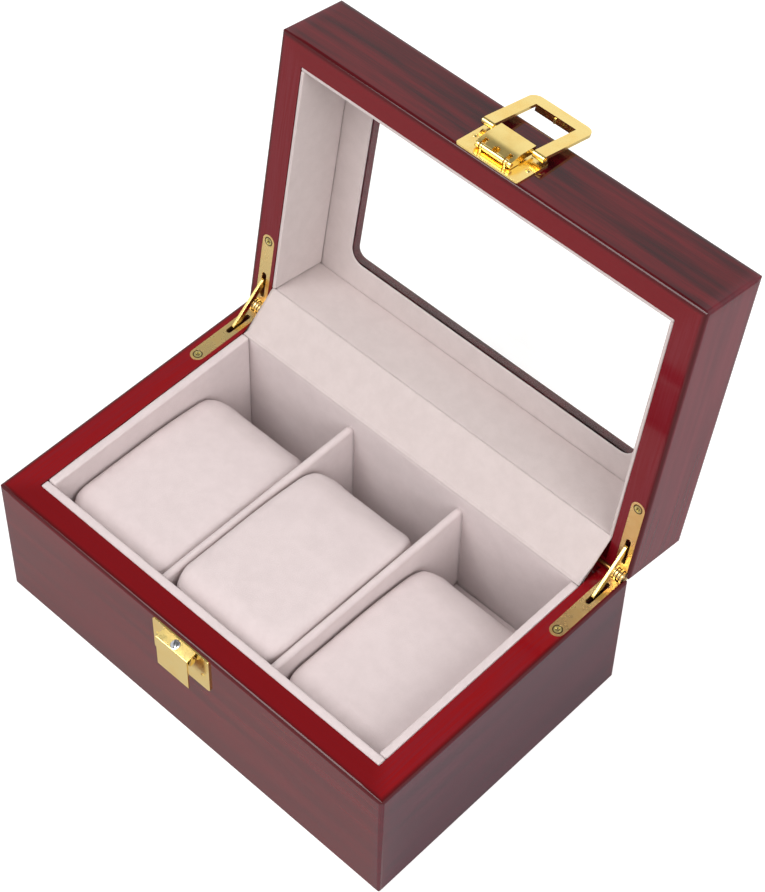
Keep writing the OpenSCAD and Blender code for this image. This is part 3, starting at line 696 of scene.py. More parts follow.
@dataclass(frozen=True)
class Finish:
    """What a piece is covered with or made of."""

    name: str
    slot: str
    effects: Effects

    def dress(self, piece: bpy.types.Object) -> None:
        """Puts the finish's material on a piece."""
        piece.data.materials.clear()
        piece.data.materials.append(self.material())

    def material(self) -> bpy.types.Material:
        """The finish's material, made when it is first asked for."""
        made = bpy.data.materials.get(self.name)
        if made is None:
            made = bpy.data.materials.new(self.name)
            made.use_nodes = True
            made.node_tree.nodes.clear()
            graph = Graph(made.node_tree)
            shader = graph.add("ShaderNodeBsdfPrincipled")
            place = graph.add("ShaderNodeTexCoord").outputs["Object"]
            self.shade(graph, shader, place)
            graph.add("ShaderNodeOutputMaterial", {"Surface": shader.outputs[0]})
        return made

    def shade(self, graph: Graph, shader: bpy.types.Node, place: Socket) -> None:
        """Sets the shader's values; each finish has its own way.

        Args:
            graph: The material's nodes.
            shader: Its Principled BSDF.
            place: The point's place in metres.
        """
        raise NotImplementedError


@dataclass(frozen=True)
class Veneer:
    """The colours of one way of the veneer: dark streaks, red between them, and its edge."""

    dark: Colour
    red: Colour
    edge: Colour


@dataclass(frozen=True)
class Lacquer(Finish):
    """Clear red lacquer over streaked veneer that runs round the box.

    long is the veneer of the front and back and short that of the two sides, and the sides' colours also hold
    painted shade and painted reflection.  Lengths are in mm: half, low and high are the box whose edges show,
    rim is the height of its bare red rim, painted_shade_width the width of the dark line painted round that
    as shade, with line its colour, rim_fade the way from the rim's height at which its red begins and is
    full, and wave_depth the coat's unevenness.
    """

    long: Veneer
    short: Veneer
    half: tuple[float, float]
    low: float
    high: float
    rim: float
    lid: LidHinge | None = None
    # Colour of the dark line painted along the rim's outer edge as shade, standing for the dark that its
    # rounded edge reflects.
    line: Colour = (0.035, 0.002, 0.003)
    painted_shade_width: float = 2.4
    painted_shade_depth: float = 0.8
    rim_fade: tuple[float, float] = (1.6, 0.2)
    pores: float = 0.25
    smear_scale: float = 38.0
    wave_depth: float = 0.05
    rough: float = 0.05
    smear_rough: float = 0.05
    index: float = 1.38

    def place_shut(self, graph: Graph, place: Socket) -> Socket:
        """The point's place with the lid shut.

        Args:
            graph: The material's nodes.
            place: The point's place as the lid stands open.

        Returns:
            The place turned back about the hinge pin.
        """
        if self.lid is None:
            return place
        c, s = math.cos(self.lid.angle), math.sin(self.lid.angle)
        y, z = self.lid.y, self.lid.z
        back = (0.0, (y - (c * y - s * z)) * MM, (z - (s * y + c * z)) * MM)
        turn = (self.lid.angle, 0.0, 0.0)
        return graph.add("ShaderNodeMapping", {0: place, 1: back, 2: turn}).outputs[0]

    def veneer(
        self, graph: Graph, place: Socket, veneer: Veneer, turn: float
    ) -> tuple[Socket, Socket]:
        """The colours of one way of the veneer.

        Args:
            graph: The material's nodes.
            place: The point's place with the lid shut.
            veneer: The way's colours.
            turn: Angle that turns the grain's run onto X.

        Returns:
            The face's colour and the rim's colour.
        """
        along = graph.add("ShaderNodeMapping", {0: place, 2: (0.0, 0.0, turn)}).outputs[0]
        grain = graph.add("ShaderNodeGroup", {"Place": along}, node_tree=self.effects.grain)
        pores = graph.math("MULTIPLY", grain.outputs["Pores"], self.pores)
        body = graph.blend(grain.outputs["Figure"], veneer.dark, veneer.red)
        return graph.blend(pores, body, veneer.dark), graph.blend(pores, veneer.edge, veneer.red)

    def shade(self, graph: Graph, shader: bpy.types.Node, place: Socket) -> None:
        """Grain, a red rim with a dark line painted along its outer edge as shade, and the low waves of a
        sprayed coat.
        """
        place = self.place_shut(graph, place)
        edges = graph.add("ShaderNodeGroup", {
            "Place": place,
            "Half Size": (self.half[0] * MM, self.half[1] * MM, 0.0),
            "Low": self.low * MM,
            "High": self.high * MM,
            "Width": self.painted_shade_width * MM,
        }, node_tree=self.effects.edges)
        side = edges.outputs["Side"]
        long_body, long_rim = self.veneer(graph, place, self.long, 0.0)
        short_body, short_rim = self.veneer(graph, place, self.short, QUARTER)
        body = graph.blend(side, long_body, short_body)
        bright = graph.blend(side, long_rim, short_rim)
        # Painted shade: the rim's colour darkens towards the box's outer edges.
        line = graph.math("MULTIPLY", edges.outputs["Mask"], self.painted_shade_depth)
        bright = graph.blend(line, bright, self.line)
        z = graph.add("ShaderNodeSeparateXYZ", {0: place}).outputs[2]
        from_rim = graph.math("ABSOLUTE", graph.math("SUBTRACT", z, self.rim * MM))
        rim = graph.between(from_rim, *(fade * MM for fade in self.rim_fade))
        smears, waves = self.effects.handled(graph, place, self.smear_scale)
        graph.feed(shader, {
            "Base Color": graph.blend(rim, body, bright),
            "Roughness": graph.math("MULTIPLY_ADD", smears, self.smear_rough, self.rough),
            "Normal": graph.bump(waves, self.wave_depth),
            "IOR": self.index,
        })


@dataclass(frozen=True)
class Velvet(Finish):
    """Short-pile fabric with a faint bloom at its edges and patches of leaning pile.

    lean_share and fibre_share are how much of the leaning colour the patches and the
    fibre ends bring.
    """

    base: Colour = (0.72, 0.62, 0.615)
    lean: Colour = (0.64, 0.545, 0.54)
    sheen: float = 0.25
    fibres: float = 3800.0
    depth: float = 0.2
    lean_share: float = 0.45
    fibre_share: float = 0.6
    rough: float = 0.95
    specular: float = 0.15
    sheen_rough: float = 0.45

    def shade(self, graph: Graph, shader: bpy.types.Node, place: Socket) -> None:
        """Fibre ends as bump and speckle, leaning patches as a slightly darker colour."""
        inputs = {"Place": place, "Fibres": self.fibres}
        pile = graph.add("ShaderNodeGroup", inputs, node_tree=self.effects.pile)
        height = pile.outputs["Height"]
        share = graph.math("MULTIPLY", pile.outputs["Lean"], self.lean_share)
        share = graph.math("MULTIPLY_ADD", height, self.fibre_share, share)
        graph.feed(shader, {
            "Base Color": graph.blend(share, self.base, self.lean),
            "Normal": graph.bump(height, self.depth),
            "Roughness": self.rough,
            "Specular IOR Level": self.specular,
            "Sheen Weight": self.sheen,
            "Sheen Roughness": self.sheen_rough,
        })


@dataclass(frozen=True)
class Metal(Finish):
    """Polished metal with smears, worn to a second colour where it is handled."""

    base: Colour
    worn: Colour
    rough: float = 0.14
    waves: float = 0.03
    smear_scale: float = 110.0
    smear_worn: float = 0.6
    smear_rough: float = 0.12

    def shade(self, graph: Graph, shader: bpy.types.Node, place: Socket) -> None:
        """Smears vary the gloss and the colour a little, and low waves bend reflections."""
        smears, waves = self.effects.handled(graph, place, self.smear_scale)
        graph.feed(shader, {
            "Metallic": 1.0,
            "Base Color": graph.blend(graph.math("MULTIPLY", smears, self.smear_worn), self.base, self.worn),
            "Roughness": graph.math("MULTIPLY_ADD", smears, self.smear_rough, self.rough),
            "Normal": graph.bump(waves, self.waves),
        })


@dataclass(frozen=True)
class ScrewMetal(Metal):
    """Metal of countersunk screws, with painted shade round each head and in its cross.

    heads are the middles of the heads.  The lengths are a head's radius, where the painted shade round it
    begins and is full, the cross's reach and half width, and how far from a middle its marks end.
    """

    heads: tuple[Place, ...] = ()
    ring: tuple[float, float] = (1.25, 1.47)
    reach: tuple[float, float] = (0.8, 0.6)
    cross: tuple[float, float] = (0.4, 0.2)
    end: tuple[float, float] = (2.7, 2.52)
    head_shade_colour: Colour = (0.10, 0.055, 0.02)

    def shade(self, graph: Graph, shader: bpy.types.Node, place: Socket) -> None:
        """Painted shade lies near the edge of the nearest head and along its two diagonals, as the shadow in
        the gap round the head and in the cross's recess.
        """
        super().shade(graph, shader, place)
        tint = shader.inputs["Base Color"].links[0].from_socket
        ring, reach, cross, end = (
            [limit * MM for limit in limits] for limits in (self.ring, self.reach, self.cross, self.end)
        )
        head_shade: object = 0.0
        for head in self.heads:
            inputs = {0: place, 1: tuple(part * MM for part in head)}
            offset = graph.add("ShaderNodeVectorMath", inputs, operation="SUBTRACT").outputs[0]
            away = graph.add("ShaderNodeVectorMath", {0: offset}, operation="LENGTH").outputs["Value"]
            across = graph.add("ShaderNodeSeparateXYZ", {0: offset}).outputs[0]
            sideways = graph.math("ABSOLUTE", across)
            squares = (graph.math("POWER", length, 2.0) for length in (away, sideways))
            along = graph.math("SQRT", graph.math("SUBTRACT", *squares))
            slope = graph.math("ABSOLUTE", graph.math("SUBTRACT", sideways, along))
            arm = graph.math("MULTIPLY", graph.between(slope, *cross), graph.between(away, *reach))
            mark = graph.math("MAXIMUM", arm, graph.between(away, *ring))
            head_shade = graph.math("MAXIMUM", head_shade, graph.math("MULTIPLY", mark, graph.between(away, *end)))
        # Painted shade: the gilt darkens in a ring round each head and along its cross.
        graph.feed(shader, {"Base Color": graph.blend(head_shade, tint, self.head_shade_colour)})


@dataclass(frozen=True)
class Pane(Finish):
    """Clear window glass."""

    smear_scale: float = 30.0
    smear_rough: float = 0.015
    tint: Colour = (0.985, 0.992, 0.988)
    index: float = 1.45

    def shade(self, graph: Graph, shader: bpy.types.Node, place: Socket) -> None:
        """Plain transmission, with the faintest smears in its gloss."""
        smears, _ = self.effects.handled(graph, place, self.smear_scale)
        graph.feed(shader, {
            "Roughness": graph.math("MULTIPLY", smears, self.smear_rough),
            "Transmission Weight": 1.0,
            "Base Color": colour(self.tint),
            "IOR": self.index,
        })


# ---------------------------------------------------------------------- stage


@dataclass(frozen=True)
class Lamp:
    """A square soft lamp: where it hangs and its side in metres, and its power in watts."""

    name: str
    place: Place
    size: float
    power: float

    def hang(self, aim: Place) -> None:
        """Puts the lamp in the scene, looking at a place."""
        light = bpy.data.lights.new(self.name, "AREA")
        light.size = self.size
        light.energy = self.power
        lamp = shown(self.name, light)
        lamp.location = self.place
        lamp.rotation_euler = (Vector(aim) - Vector(self.place)).to_track_quat("-Z", "Y").to_euler()


@dataclass(frozen=True)
class Studio:
    """Pale floor, two soft lamps, a plain world and the camera.

    The camera's place is in mm and the three ways of its view have length 1.  The other
    lengths are in metres.  The strengths of floor and world are those that the camera
    sees, that gloss sees, and, as fill, that light the box.  Gloss sees a sky that grows
    darker by sky_fall between the two heights of overhead.
    """

    lens: float = 99.81
    place: Place = (341.263, -341.918, 705.167)
    right: Place = (0.724919, 0.688596, 0.018103)
    down: Place = (0.546271, -0.558679, -0.624072)
    ahead: Place = (-0.419620, 0.462291, -0.781157)
    lamps: tuple[Lamp, ...] = (
        Lamp("key lamp", (-0.35, -0.75, 1.3), 0.8, 14.0),
        Lamp("fill lamp", (1.1, -0.35, 0.8), 0.9, 11.0),
    )
    aim: Place = (0.0, 0.0, 0.05)
    floor_colour: Colour = (0.54, 0.535, 0.53)
    floor_reach: float = 6.0
    floor_depth: float = 0.0002
    floor_seen: float = 0.72
    floor_gloss: float = 0.02
    fill: float = 0.50
    sky_gloss: float = 0.95
    sky_fall: float = 0.72
    overhead: tuple[float, float] = (0.55, 0.80)

    def build(self) -> None:
        """Sets up everything round the object."""
        bpy.context.scene.view_settings.view_transform = "Standard"
        self.camera()
        for lamp in self.lamps:
            lamp.hang(self.aim)
        self.floor()
        self.world()
        LOG.info("studio ready")

    def camera(self) -> None:
        """Places the camera from the three directions of its view."""
        lens = bpy.data.cameras.new("camera")
        lens.lens = self.lens
        lens.sensor_width = 36.0
        lens.sensor_fit = "AUTO"
        lens.clip_start = 0.01
        camera = shown("camera", lens)
        matrix = np.eye(4)
        matrix[:3, :3] = np.stack([self.right, -np.array(self.down), -np.array(self.ahead)], axis=1)
        matrix[:3, 3] = np.array(self.place) * MM
        camera.matrix_world = Matrix(matrix.tolist())
        bpy.context.scene.camera = camera

    def floor(self) -> None:
        """Lays a wide pale floor that shows white yet keeps the shadow."""
        corners = np.array([[-1, -1], [1, -1], [1, 1], [-1, 1]]) * self.floor_reach
        mesh = bpy.data.meshes.new("floor")
        mesh.from_pydata([(x, y, -self.floor_depth) for x, y in corners.tolist()], [], [(0, 1, 2, 3)])
        made = bpy.data.materials.new("pale floor")
        made.use_nodes = True
        graph = Graph(made.node_tree)
        path = graph.add("ShaderNodeLightPath").outputs
        seen = graph.math("MAXIMUM", path["Is Camera Ray"], path["Is Transmission Ray"])
        glow = graph.math("MULTIPLY", path["Is Glossy Ray"], self.floor_gloss)
        graph.feed(made.node_tree.nodes["Principled BSDF"], {
            "Base Color": colour(self.floor_colour),
            "Roughness": 1.0,
            "Specular IOR Level": 0.0,
            "Emission Color": (1.0, 1.0, 1.0, 1.0),
            "Emission Strength": graph.math("MULTIPLY_ADD", seen, self.floor_seen, glow),
        })
        mesh.materials.append(made)
        shown("floor", mesh)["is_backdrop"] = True

    def world(self) -> None:
        """White behind everything, and a softer sky overhead for light and gloss."""
        world = bpy.data.worlds.new("world")
        bpy.context.scene.world = world
        world.use_nodes = True
        world.node_tree.nodes.clear()
        graph = Graph(world.node_tree)
        path = graph.add("ShaderNodeLightPath").outputs
        way = graph.add("ShaderNodeTexCoord").outputs["Generated"]
        height = graph.add("ShaderNodeSeparateXYZ", {0: way}).outputs[2]
        gloss = graph.between(height, *self.overhead)
        gloss = graph.math("MULTIPLY_ADD", gloss, -self.sky_fall, self.sky_gloss)
        clear = graph.math("MAXIMUM", path["Is Camera Ray"], path["Is Transmission Ray"])
        glossy = graph.math("MULTIPLY", path["Is Glossy Ray"], gloss)
        other = graph.math("SUBTRACT", 1.0, graph.math("MAXIMUM", clear, path["Is Glossy Ray"]))
        light = graph.math("MULTIPLY", other, self.fill)
        strength = graph.math("ADD", graph.math("MAXIMUM", clear, glossy), light)
        inputs = {"Color": (1.0, 1.0, 1.0, 1.0), "Strength": strength}
        back = graph.add("ShaderNodeBackground", inputs)
        graph.add("ShaderNodeOutputWorld", {"Surface": back.outputs[0]})


# ---------------------------------------------------------------------- pieces


@dataclass
class Woodwork:
    """The eight walls and two panels of lacquered wood, the felt and the glass."""

    model: Model
    effects: Effects
    # The sides' colours are set apart from the fronts' partly as painted light: the base's sides are darker
    # and greyer as painted shade and reflection, and the lid's sides lighter as painted reflection.
    base_long: Veneer = Veneer((0.095, 0.004, 0.008), (0.150, 0.004, 0.009), (0.165, 0.002, 0.004))
    base_sides_painted_shade: Veneer = Veneer((0.060, 0.016, 0.028), (0.100, 0.018, 0.034), (0.230, 0.003, 0.005))
    lid_long: Veneer = Veneer((0.028, 0.002, 0.004), (0.125, 0.003, 0.007), (0.160, 0.003, 0.007))
    lid_sides_painted_reflection: Veneer = Veneer((0.130, 0.024, 0.036), (0.185, 0.028, 0.042), (0.160, 0.004, 0.009))

    def build(self) -> None:
        """Dresses every wooden node in the lacquer of its part."""
        low, high = self.model.box("base_left_wall")
        _, top = self.model.box("lid_top_panel", shut=True)
        rim, _ = self.model.box("lid_left_wall", shut=True)
        half = (float(top[0]), float(high[1]))
        base = Lacquer(
            "base lacquer", "lacquered_wood", self.effects, self.base_long, self.base_sides_painted_shade,
            half, float(low[2]), float(high[2]), float(high[2]),
        )
        lid = Lacquer(
            "lid lacquer", "lacquered_wood", self.effects, self.lid_long, self.lid_sides_painted_reflection,
            half, float(rim[2]), float(top[2]), float(rim[2]), self.model.hinge,
        )
        for part, finish, panel in (("base", base, "base_bottom_panel"), ("lid", lid, "lid_top_panel")):
            for side in ("front", "back", "left", "right"):
                self.model.dress(f"{part}_{side}_wall", finish)
            self.model.dress(panel, finish)
        felt = Velvet(
            "dark felt", "felt", self.effects, (0.16, 0.02, 0.025), (0.11, 0.012, 0.018), 0.1, 2600.0,
        )
        self.model.dress("base_felt", felt)
        self.model.dress("window_glass", Pane("window glass", "window_glass", self.effects))


@dataclass
class Lining:
    """The velvet boards of base and lid, the floor pad, dividers, card and hinge flap.

    Lengths are in mm.  play is the room left round each board, and the ripples are their
    depth and the ways from rise to rise on boards, dividers and flap.  A divider passes
    into the boards by divider_grip.  The card's window is smaller than the glass by
    glass_rebate all round, and its round edge takes card_start of the face.  The flap's
    bend and top are where it leaves the base's rebate and reaches the lid's, as y and z.
    The points are how many a round, a side or a length is drawn with.
    """

    model: Model
    velvet: Velvet
    # Velvet of the lid's boards, card and flap: the pale velvet painted darker, as painted shade.
    shaded_lid_velvet: Velvet
    board_edge: float = 0.8
    lid_board_edge: float = 0.5
    pad_edge: float = 1.0
    play: float = 0.06
    ripple: float = 0.12
    board_wave: float = 26.0
    divider_wave: float = 22.0
    divider_grip: float = 0.25
    glass_rebate: float = 3.8
    window_corner: float = 5.5
    card_start: float = 0.04
    flap_thick: float = 0.5
    flap_play: float = 0.03
    flap_side_play: float = 0.05
    flap_glue: float = 0.1
    flap_bend: tuple[float, float] = (46.55, 54.85)
    flap_top: tuple[float, float] = (59.85, 66.95)
    flap_wave: float = 34.0
    flap_depth: float = 0.35
    divider_round_points: int = 13
    divider_side_points: int = 19
    divider_foot_points: int = 4
    divider_length_points: int = 49
    window_points: tuple[int, int, int] = (60, 32, 8)
    card_face_points: int = 8
    card_round_points: int = 7
    flap_line_points: int = 34
    flap_length_points: int = 121

    def build(self) -> None:
        """Makes each velvet piece and lets it stand for its node."""
        boards = {"front": Axis.X, "back": Axis.X, "left": Axis.Y, "right": Axis.Y}
        for seed, (side, along) in enumerate(boards.items()):
            self.board(f"base_lining_{side}", self.board_edge, along, seed)
            self.board(f"lid_lining_{side}", self.lid_board_edge, along, seed + 10, in_lid=True)
        self.board("base_floor_pad", self.pad_edge, Axis.X, 20)
        for seed, side in enumerate(("left", "right")):
            self.divider(side, seed + 30)
        self.ceiling_card()
        self.flap()

    def board(self, node: str, edge: float, along: Axis, seed: int, in_lid: bool = False) -> bpy.types.Object:
        """A board wrapped in velvet, with soft edges and a slight ripple.

        Args:
            node: The node that it stands for.
            edge: Radius of its edges.
            along: The way it runs.
            seed: Number that fixes the ripple.
            in_lid: Whether it is a board of the lid.

        Returns:
            The piece.
        """
        low, high = self.model.box(node, shut=in_lid)
        shell = soft_block(low + self.play, high - self.play, edge, along)
        if in_lid:
            shell = self.model.hinge.opened(shell)
        piece = shell.piece(f"{node}_cloth")
        uneven(piece, self.ripple, self.board_wave, seed)
        return self.model.stand_in(piece, self.shaded_lid_velvet if in_lid else self.velvet, node)

    def divider(self, side: str, seed: int) -> None:
        """A divider with a round top: a half circle that runs down into two flat sides.

        Args:
            side: Which of the two it is.
            seed: Number that fixes the ripple.
        """
        node = f"divider_{side}"
        low, high = self.model.box(node)
        inner = self.model.box("base_lining_front")[1][1]
        radius = (high[0] - low[0]) / 2 - self.play
        foot, top = low[2] + self.play, high[2] - self.play
        turn = np.linspace(0, math.pi, self.divider_round_points)
        arc = np.stack([radius * np.cos(turn), top - radius + radius * np.sin(turn)], axis=1)
        down = np.linspace(arc[-1, 1], foot, self.divider_side_points)[1:]
        left = np.stack([np.full(len(down), -radius), down], axis=1)
        under = np.linspace(-radius, radius, self.divider_foot_points)[1:-1]
        under = np.stack([under, np.full(len(under), foot)], axis=1)
        outline = np.concatenate([arc, left, under, left[::-1] * [-1, 1]])
        outline[:, 0] += (low[0] + high[0]) / 2
        reach = inner - self.divider_grip
        stations = np.linspace(reach, -reach, self.divider_length_points)
        piece = tube(swept(outline, stations, Axis.Y)).piece(f"{node}_cloth")
        uneven(piece, self.ripple, self.divider_wave, seed)
        self.model.stand_in(piece, self.velvet, node)

    def ceiling_card(self) -> None:
        """The card round the window, with its cloth wrapped over a rounded inner edge.

        Each section runs out from the inner edge along the face that shows, and back
        along the other face.  Sections follow a rounded rectangle from the window's
        edge, and their outer ends lie on the card's outer rectangle.
        """
        low, high = self.model.box("lid_ceiling_card", shut=True)
        glass = np.minimum(*np.abs(self.model.box("window_glass", shut=True)))[:2]
        window = glass - self.glass_rebate
        corner = self.window_corner
        half = high[:2] - self.play
        outline = RoundedOutline(window[0] - corner, window[1] - corner, *self.window_points)
        inner = outline.at(corner)
        edge = (high[2] - low[2]) / 2 - self.play / 2
        middle = (high[2] + low[2]) / 2
        outward = inner / np.abs(inner / half).max(axis=1)[:, None]
        shares = np.linspace(self.card_start, 1, self.card_face_points)
        turn = np.linspace(-QUARTER, QUARTER, self.card_round_points)
        normal = outline.at(corner + 1.0) - inner
        faces = [inner + (outward - inner) * share for share in shares[::-1]]
        wraps = [inner + normal * edge * (1 - math.cos(angle)) for angle in turn]
        plan = faces + wraps + faces[::-1]
        rise = np.concatenate([[-1] * len(faces), np.sin(turn), [1] * len(faces)]) * edge
        sections = np.empty((len(inner), len(plan), 3))
        sections[..., :2] = np.stack(plan, axis=1)
        sections[..., 2] = middle + rise
        piece = self.model.hinge.opened(loop(sections)).piece("lid_ceiling_card_cloth")
        self.model.stand_in(piece, self.shaded_lid_velvet, "lid_ceiling_card")

    def flap(self) -> None:
        """The velvet strip over the hinge line, glued into both rebates.

        Its middle line runs in from the base's rebate, up the slope that it takes with
        the lid open and into the lid's rebate.  Half the thickness is added on either
        side of the line, and the slope waves a little along its length.
        """
        hinge, half = self.model.hinge, self.flap_thick / 2
        low, high = self.model.box("hinge_flap")
        base_board, _ = self.model.box("base_lining_back")
        lid_board, _ = self.model.box("lid_lining_back", shut=True)
        start = [base_board[1] + self.flap_glue, low[2] + half + self.flap_play]
        end = np.array([0.0, lid_board[1] + self.flap_glue, lid_board[2] - half - self.flap_play])
        end = hinge.turned(end, -hinge.angle)
        knots = np.array([start, self.flap_bend, self.flap_top, end[1:]])
        lengths = np.concatenate([[0], np.cumsum(np.linalg.norm(np.diff(knots, axis=0), axis=1))])
        even = np.linspace(0, lengths[-1], self.flap_line_points)
        at = np.unique(np.concatenate([even, lengths]))
        line = np.stack([np.interp(at, lengths, knots[:, k]) for k in (0, 1)], axis=1)
        bent = line.copy()
        bent[1:-1] = line[1:-1] * 0.5 + (line[:-2] + line[2:]) * 0.25
        tangent = np.gradient(bent, axis=0)
        tangent /= np.linalg.norm(tangent, axis=1)[:, None]
        normal = np.stack([-tangent[:, 1], tangent[:, 0]], axis=1)
        outline = np.concatenate([bent + normal * half, (bent - normal * half)[::-1]])
        swell = np.sin(np.clip((at - lengths[1]) / (lengths[2] - lengths[1]), 0, 1) * math.pi)[:, None]
        push = np.concatenate([normal * swell, (normal * swell)[::-1]])
        left, right = low[0] + self.flap_side_play, high[0] - self.flap_side_play
        stations = np.linspace(left, right, self.flap_length_points)
        wave = hand_work(stations[:, None] * [1, 0, 0], self.flap_wave, 44)[:, None, None]
        sections = swept(outline + push * wave * self.flap_depth / 2, stations, Axis.X)
        piece = tube(sections).piece("hinge_flap_cloth")
        self.shaded_lid_velvet.dress(piece)
        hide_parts("hinge_flap")
        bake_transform(piece)
        LOG.info("hinge flap stands for hinge_flap")


@dataclass
class Cushions:
    """The three stuffed watch cushions.

    Lengths are in mm.  crisp is how far the edges beside the dividers are pressed out
    towards the corner, as a share of their rounding, within edge_zone of the corner.
    """

    model: Model
    velvet: Velvet
    voxel: float = 2.0
    pressure: float = 4.0
    tension: float = 15.0
    bending: float = 0.5
    start: float = 0.85
    reach: float = 0.3
    back_fall: float = 4.5
    frames: int = 16
    crisp: float = 0.5
    edge_zone: float = 8.0
    slice_width: float = 2.5

    def build(self) -> None:
        """Stuffs and dresses each cushion."""
        for place in ("left", "middle", "right"):
            piece = self.stuffed(place)
            self.model.stand_in(piece, self.velvet, f"cushion_cover_{place}", f"cushion_filling_{place}")

    def stuffed(self, place: str) -> bpy.types.Object:
        """A cushion blown up from its filling as cloth under pressure.

        The filling's surface is remeshed to even squares and simulated with pressure and
        no gravity.  Each point then moves by what it moved in the simulation, but no
        further than reach.  The top falls towards the back with the square of the way.

        Args:
            place: Which of the three cushions.

        Returns:
            The cushion's cover as one closed piece.
        """
        piece = shown(f"cushion_{place}", self.model.nodes[f"cushion_filling_{place}"].data.copy())
        modify(piece, "Weld", "WELD", merge_threshold=1e-6)
        modify(piece, "Remesh", "REMESH", mode="VOXEL", voxel_size=self.voxel * MM)
        settled(piece)
        vertices = piece.data.vertices
        start = triples(vertices, "co").astype(float) + triples(vertices, "normal") * self.start * MM
        vertices.foreach_set("co", start.ravel())
        self.inflate(piece)
        moved = triples(piece.data.vertices, "co") - start
        length = np.linalg.norm(moved, axis=1)[:, None]
        moved *= np.minimum(1.0, self.reach * MM / np.maximum(length, 1e-9))
        puffed = self.pressed(start + moved)
        low, high = puffed.min(axis=0), puffed.max(axis=0)
        back = np.clip((puffed[:, 1] - low[1]) / (high[1] - low[1]) * 2 - 1, 0, 1)
        puffed[:, 2] -= self.back_fall * MM * back**2 * (puffed[:, 2] - low[2]) / (high[2] - low[2])
        piece.data.vertices.foreach_set("co", puffed.ravel())
        smooth(piece.data)
        modify(piece, "Subdivision", "SUBSURF", levels=1, render_levels=1)
        settled(piece)
        return piece

    def pressed(self, points: np.ndarray) -> np.ndarray:
        """The points with the two long top edges pressed against what stands beside them.

        The cushion is cut into slices from front to back.  In its slice each point lies a
        way in from the nearer side and a way below the top.  The smaller of the two is 0
        on the flats and greatest in the middle of a rounded edge; the point moves outward
        and up by a share of it.

        Args:
            points: The cushion's points, in metres.

        Returns:
            The moved points.
        """
        side, place, height = points.T
        width = self.slice_width * MM
        count = int((place.max() - place.min()) / width)
        cut = np.minimum(((place - place.min()) / width).astype(int), count - 1)
        middles = place.min() + (np.arange(count) + 0.5) * width
        left, right, top = np.full(count, np.inf), np.full(count, -np.inf), np.full(count, -np.inf)
        np.minimum.at(left, cut, side)
        np.maximum.at(right, cut, side)
        np.maximum.at(top, cut, height)
        from_left = side - np.interp(place, middles, left)
        from_right = np.interp(place, middles, right) - side
        inward = np.maximum(np.minimum(from_left, from_right), 0)
        below = np.maximum(np.interp(place, middles, top) - height, 0)
        near = np.clip(2 - np.maximum(inward, below) / (self.edge_zone / 2 * MM), 0, 1)
        push = self.crisp * np.minimum(inward, below) * near
        outward = np.where(from_left < from_right, -push, push)
        return points + np.stack([outward, np.zeros_like(push), push], axis=1)

    def inflate(self, piece: bpy.types.Object) -> None:
        """Runs the cloth simulation on a piece and keeps its last frame.

        Args:
            piece: The remeshed cushion.
        """
        cloth = piece.modifiers.new("Cloth", "CLOTH")
        cloth.settings.use_pressure = True
        cloth.settings.uniform_pressure_force = self.pressure
        cloth.settings.effector_weights.gravity = 0.0
        cloth.settings.tension_stiffness = self.tension
        cloth.settings.bending_stiffness = self.bending
        scene = bpy.context.scene
        for frame in range(1, self.frames + 1):
            scene.frame_set(frame)
        settled(piece)
        scene.frame_set(1)


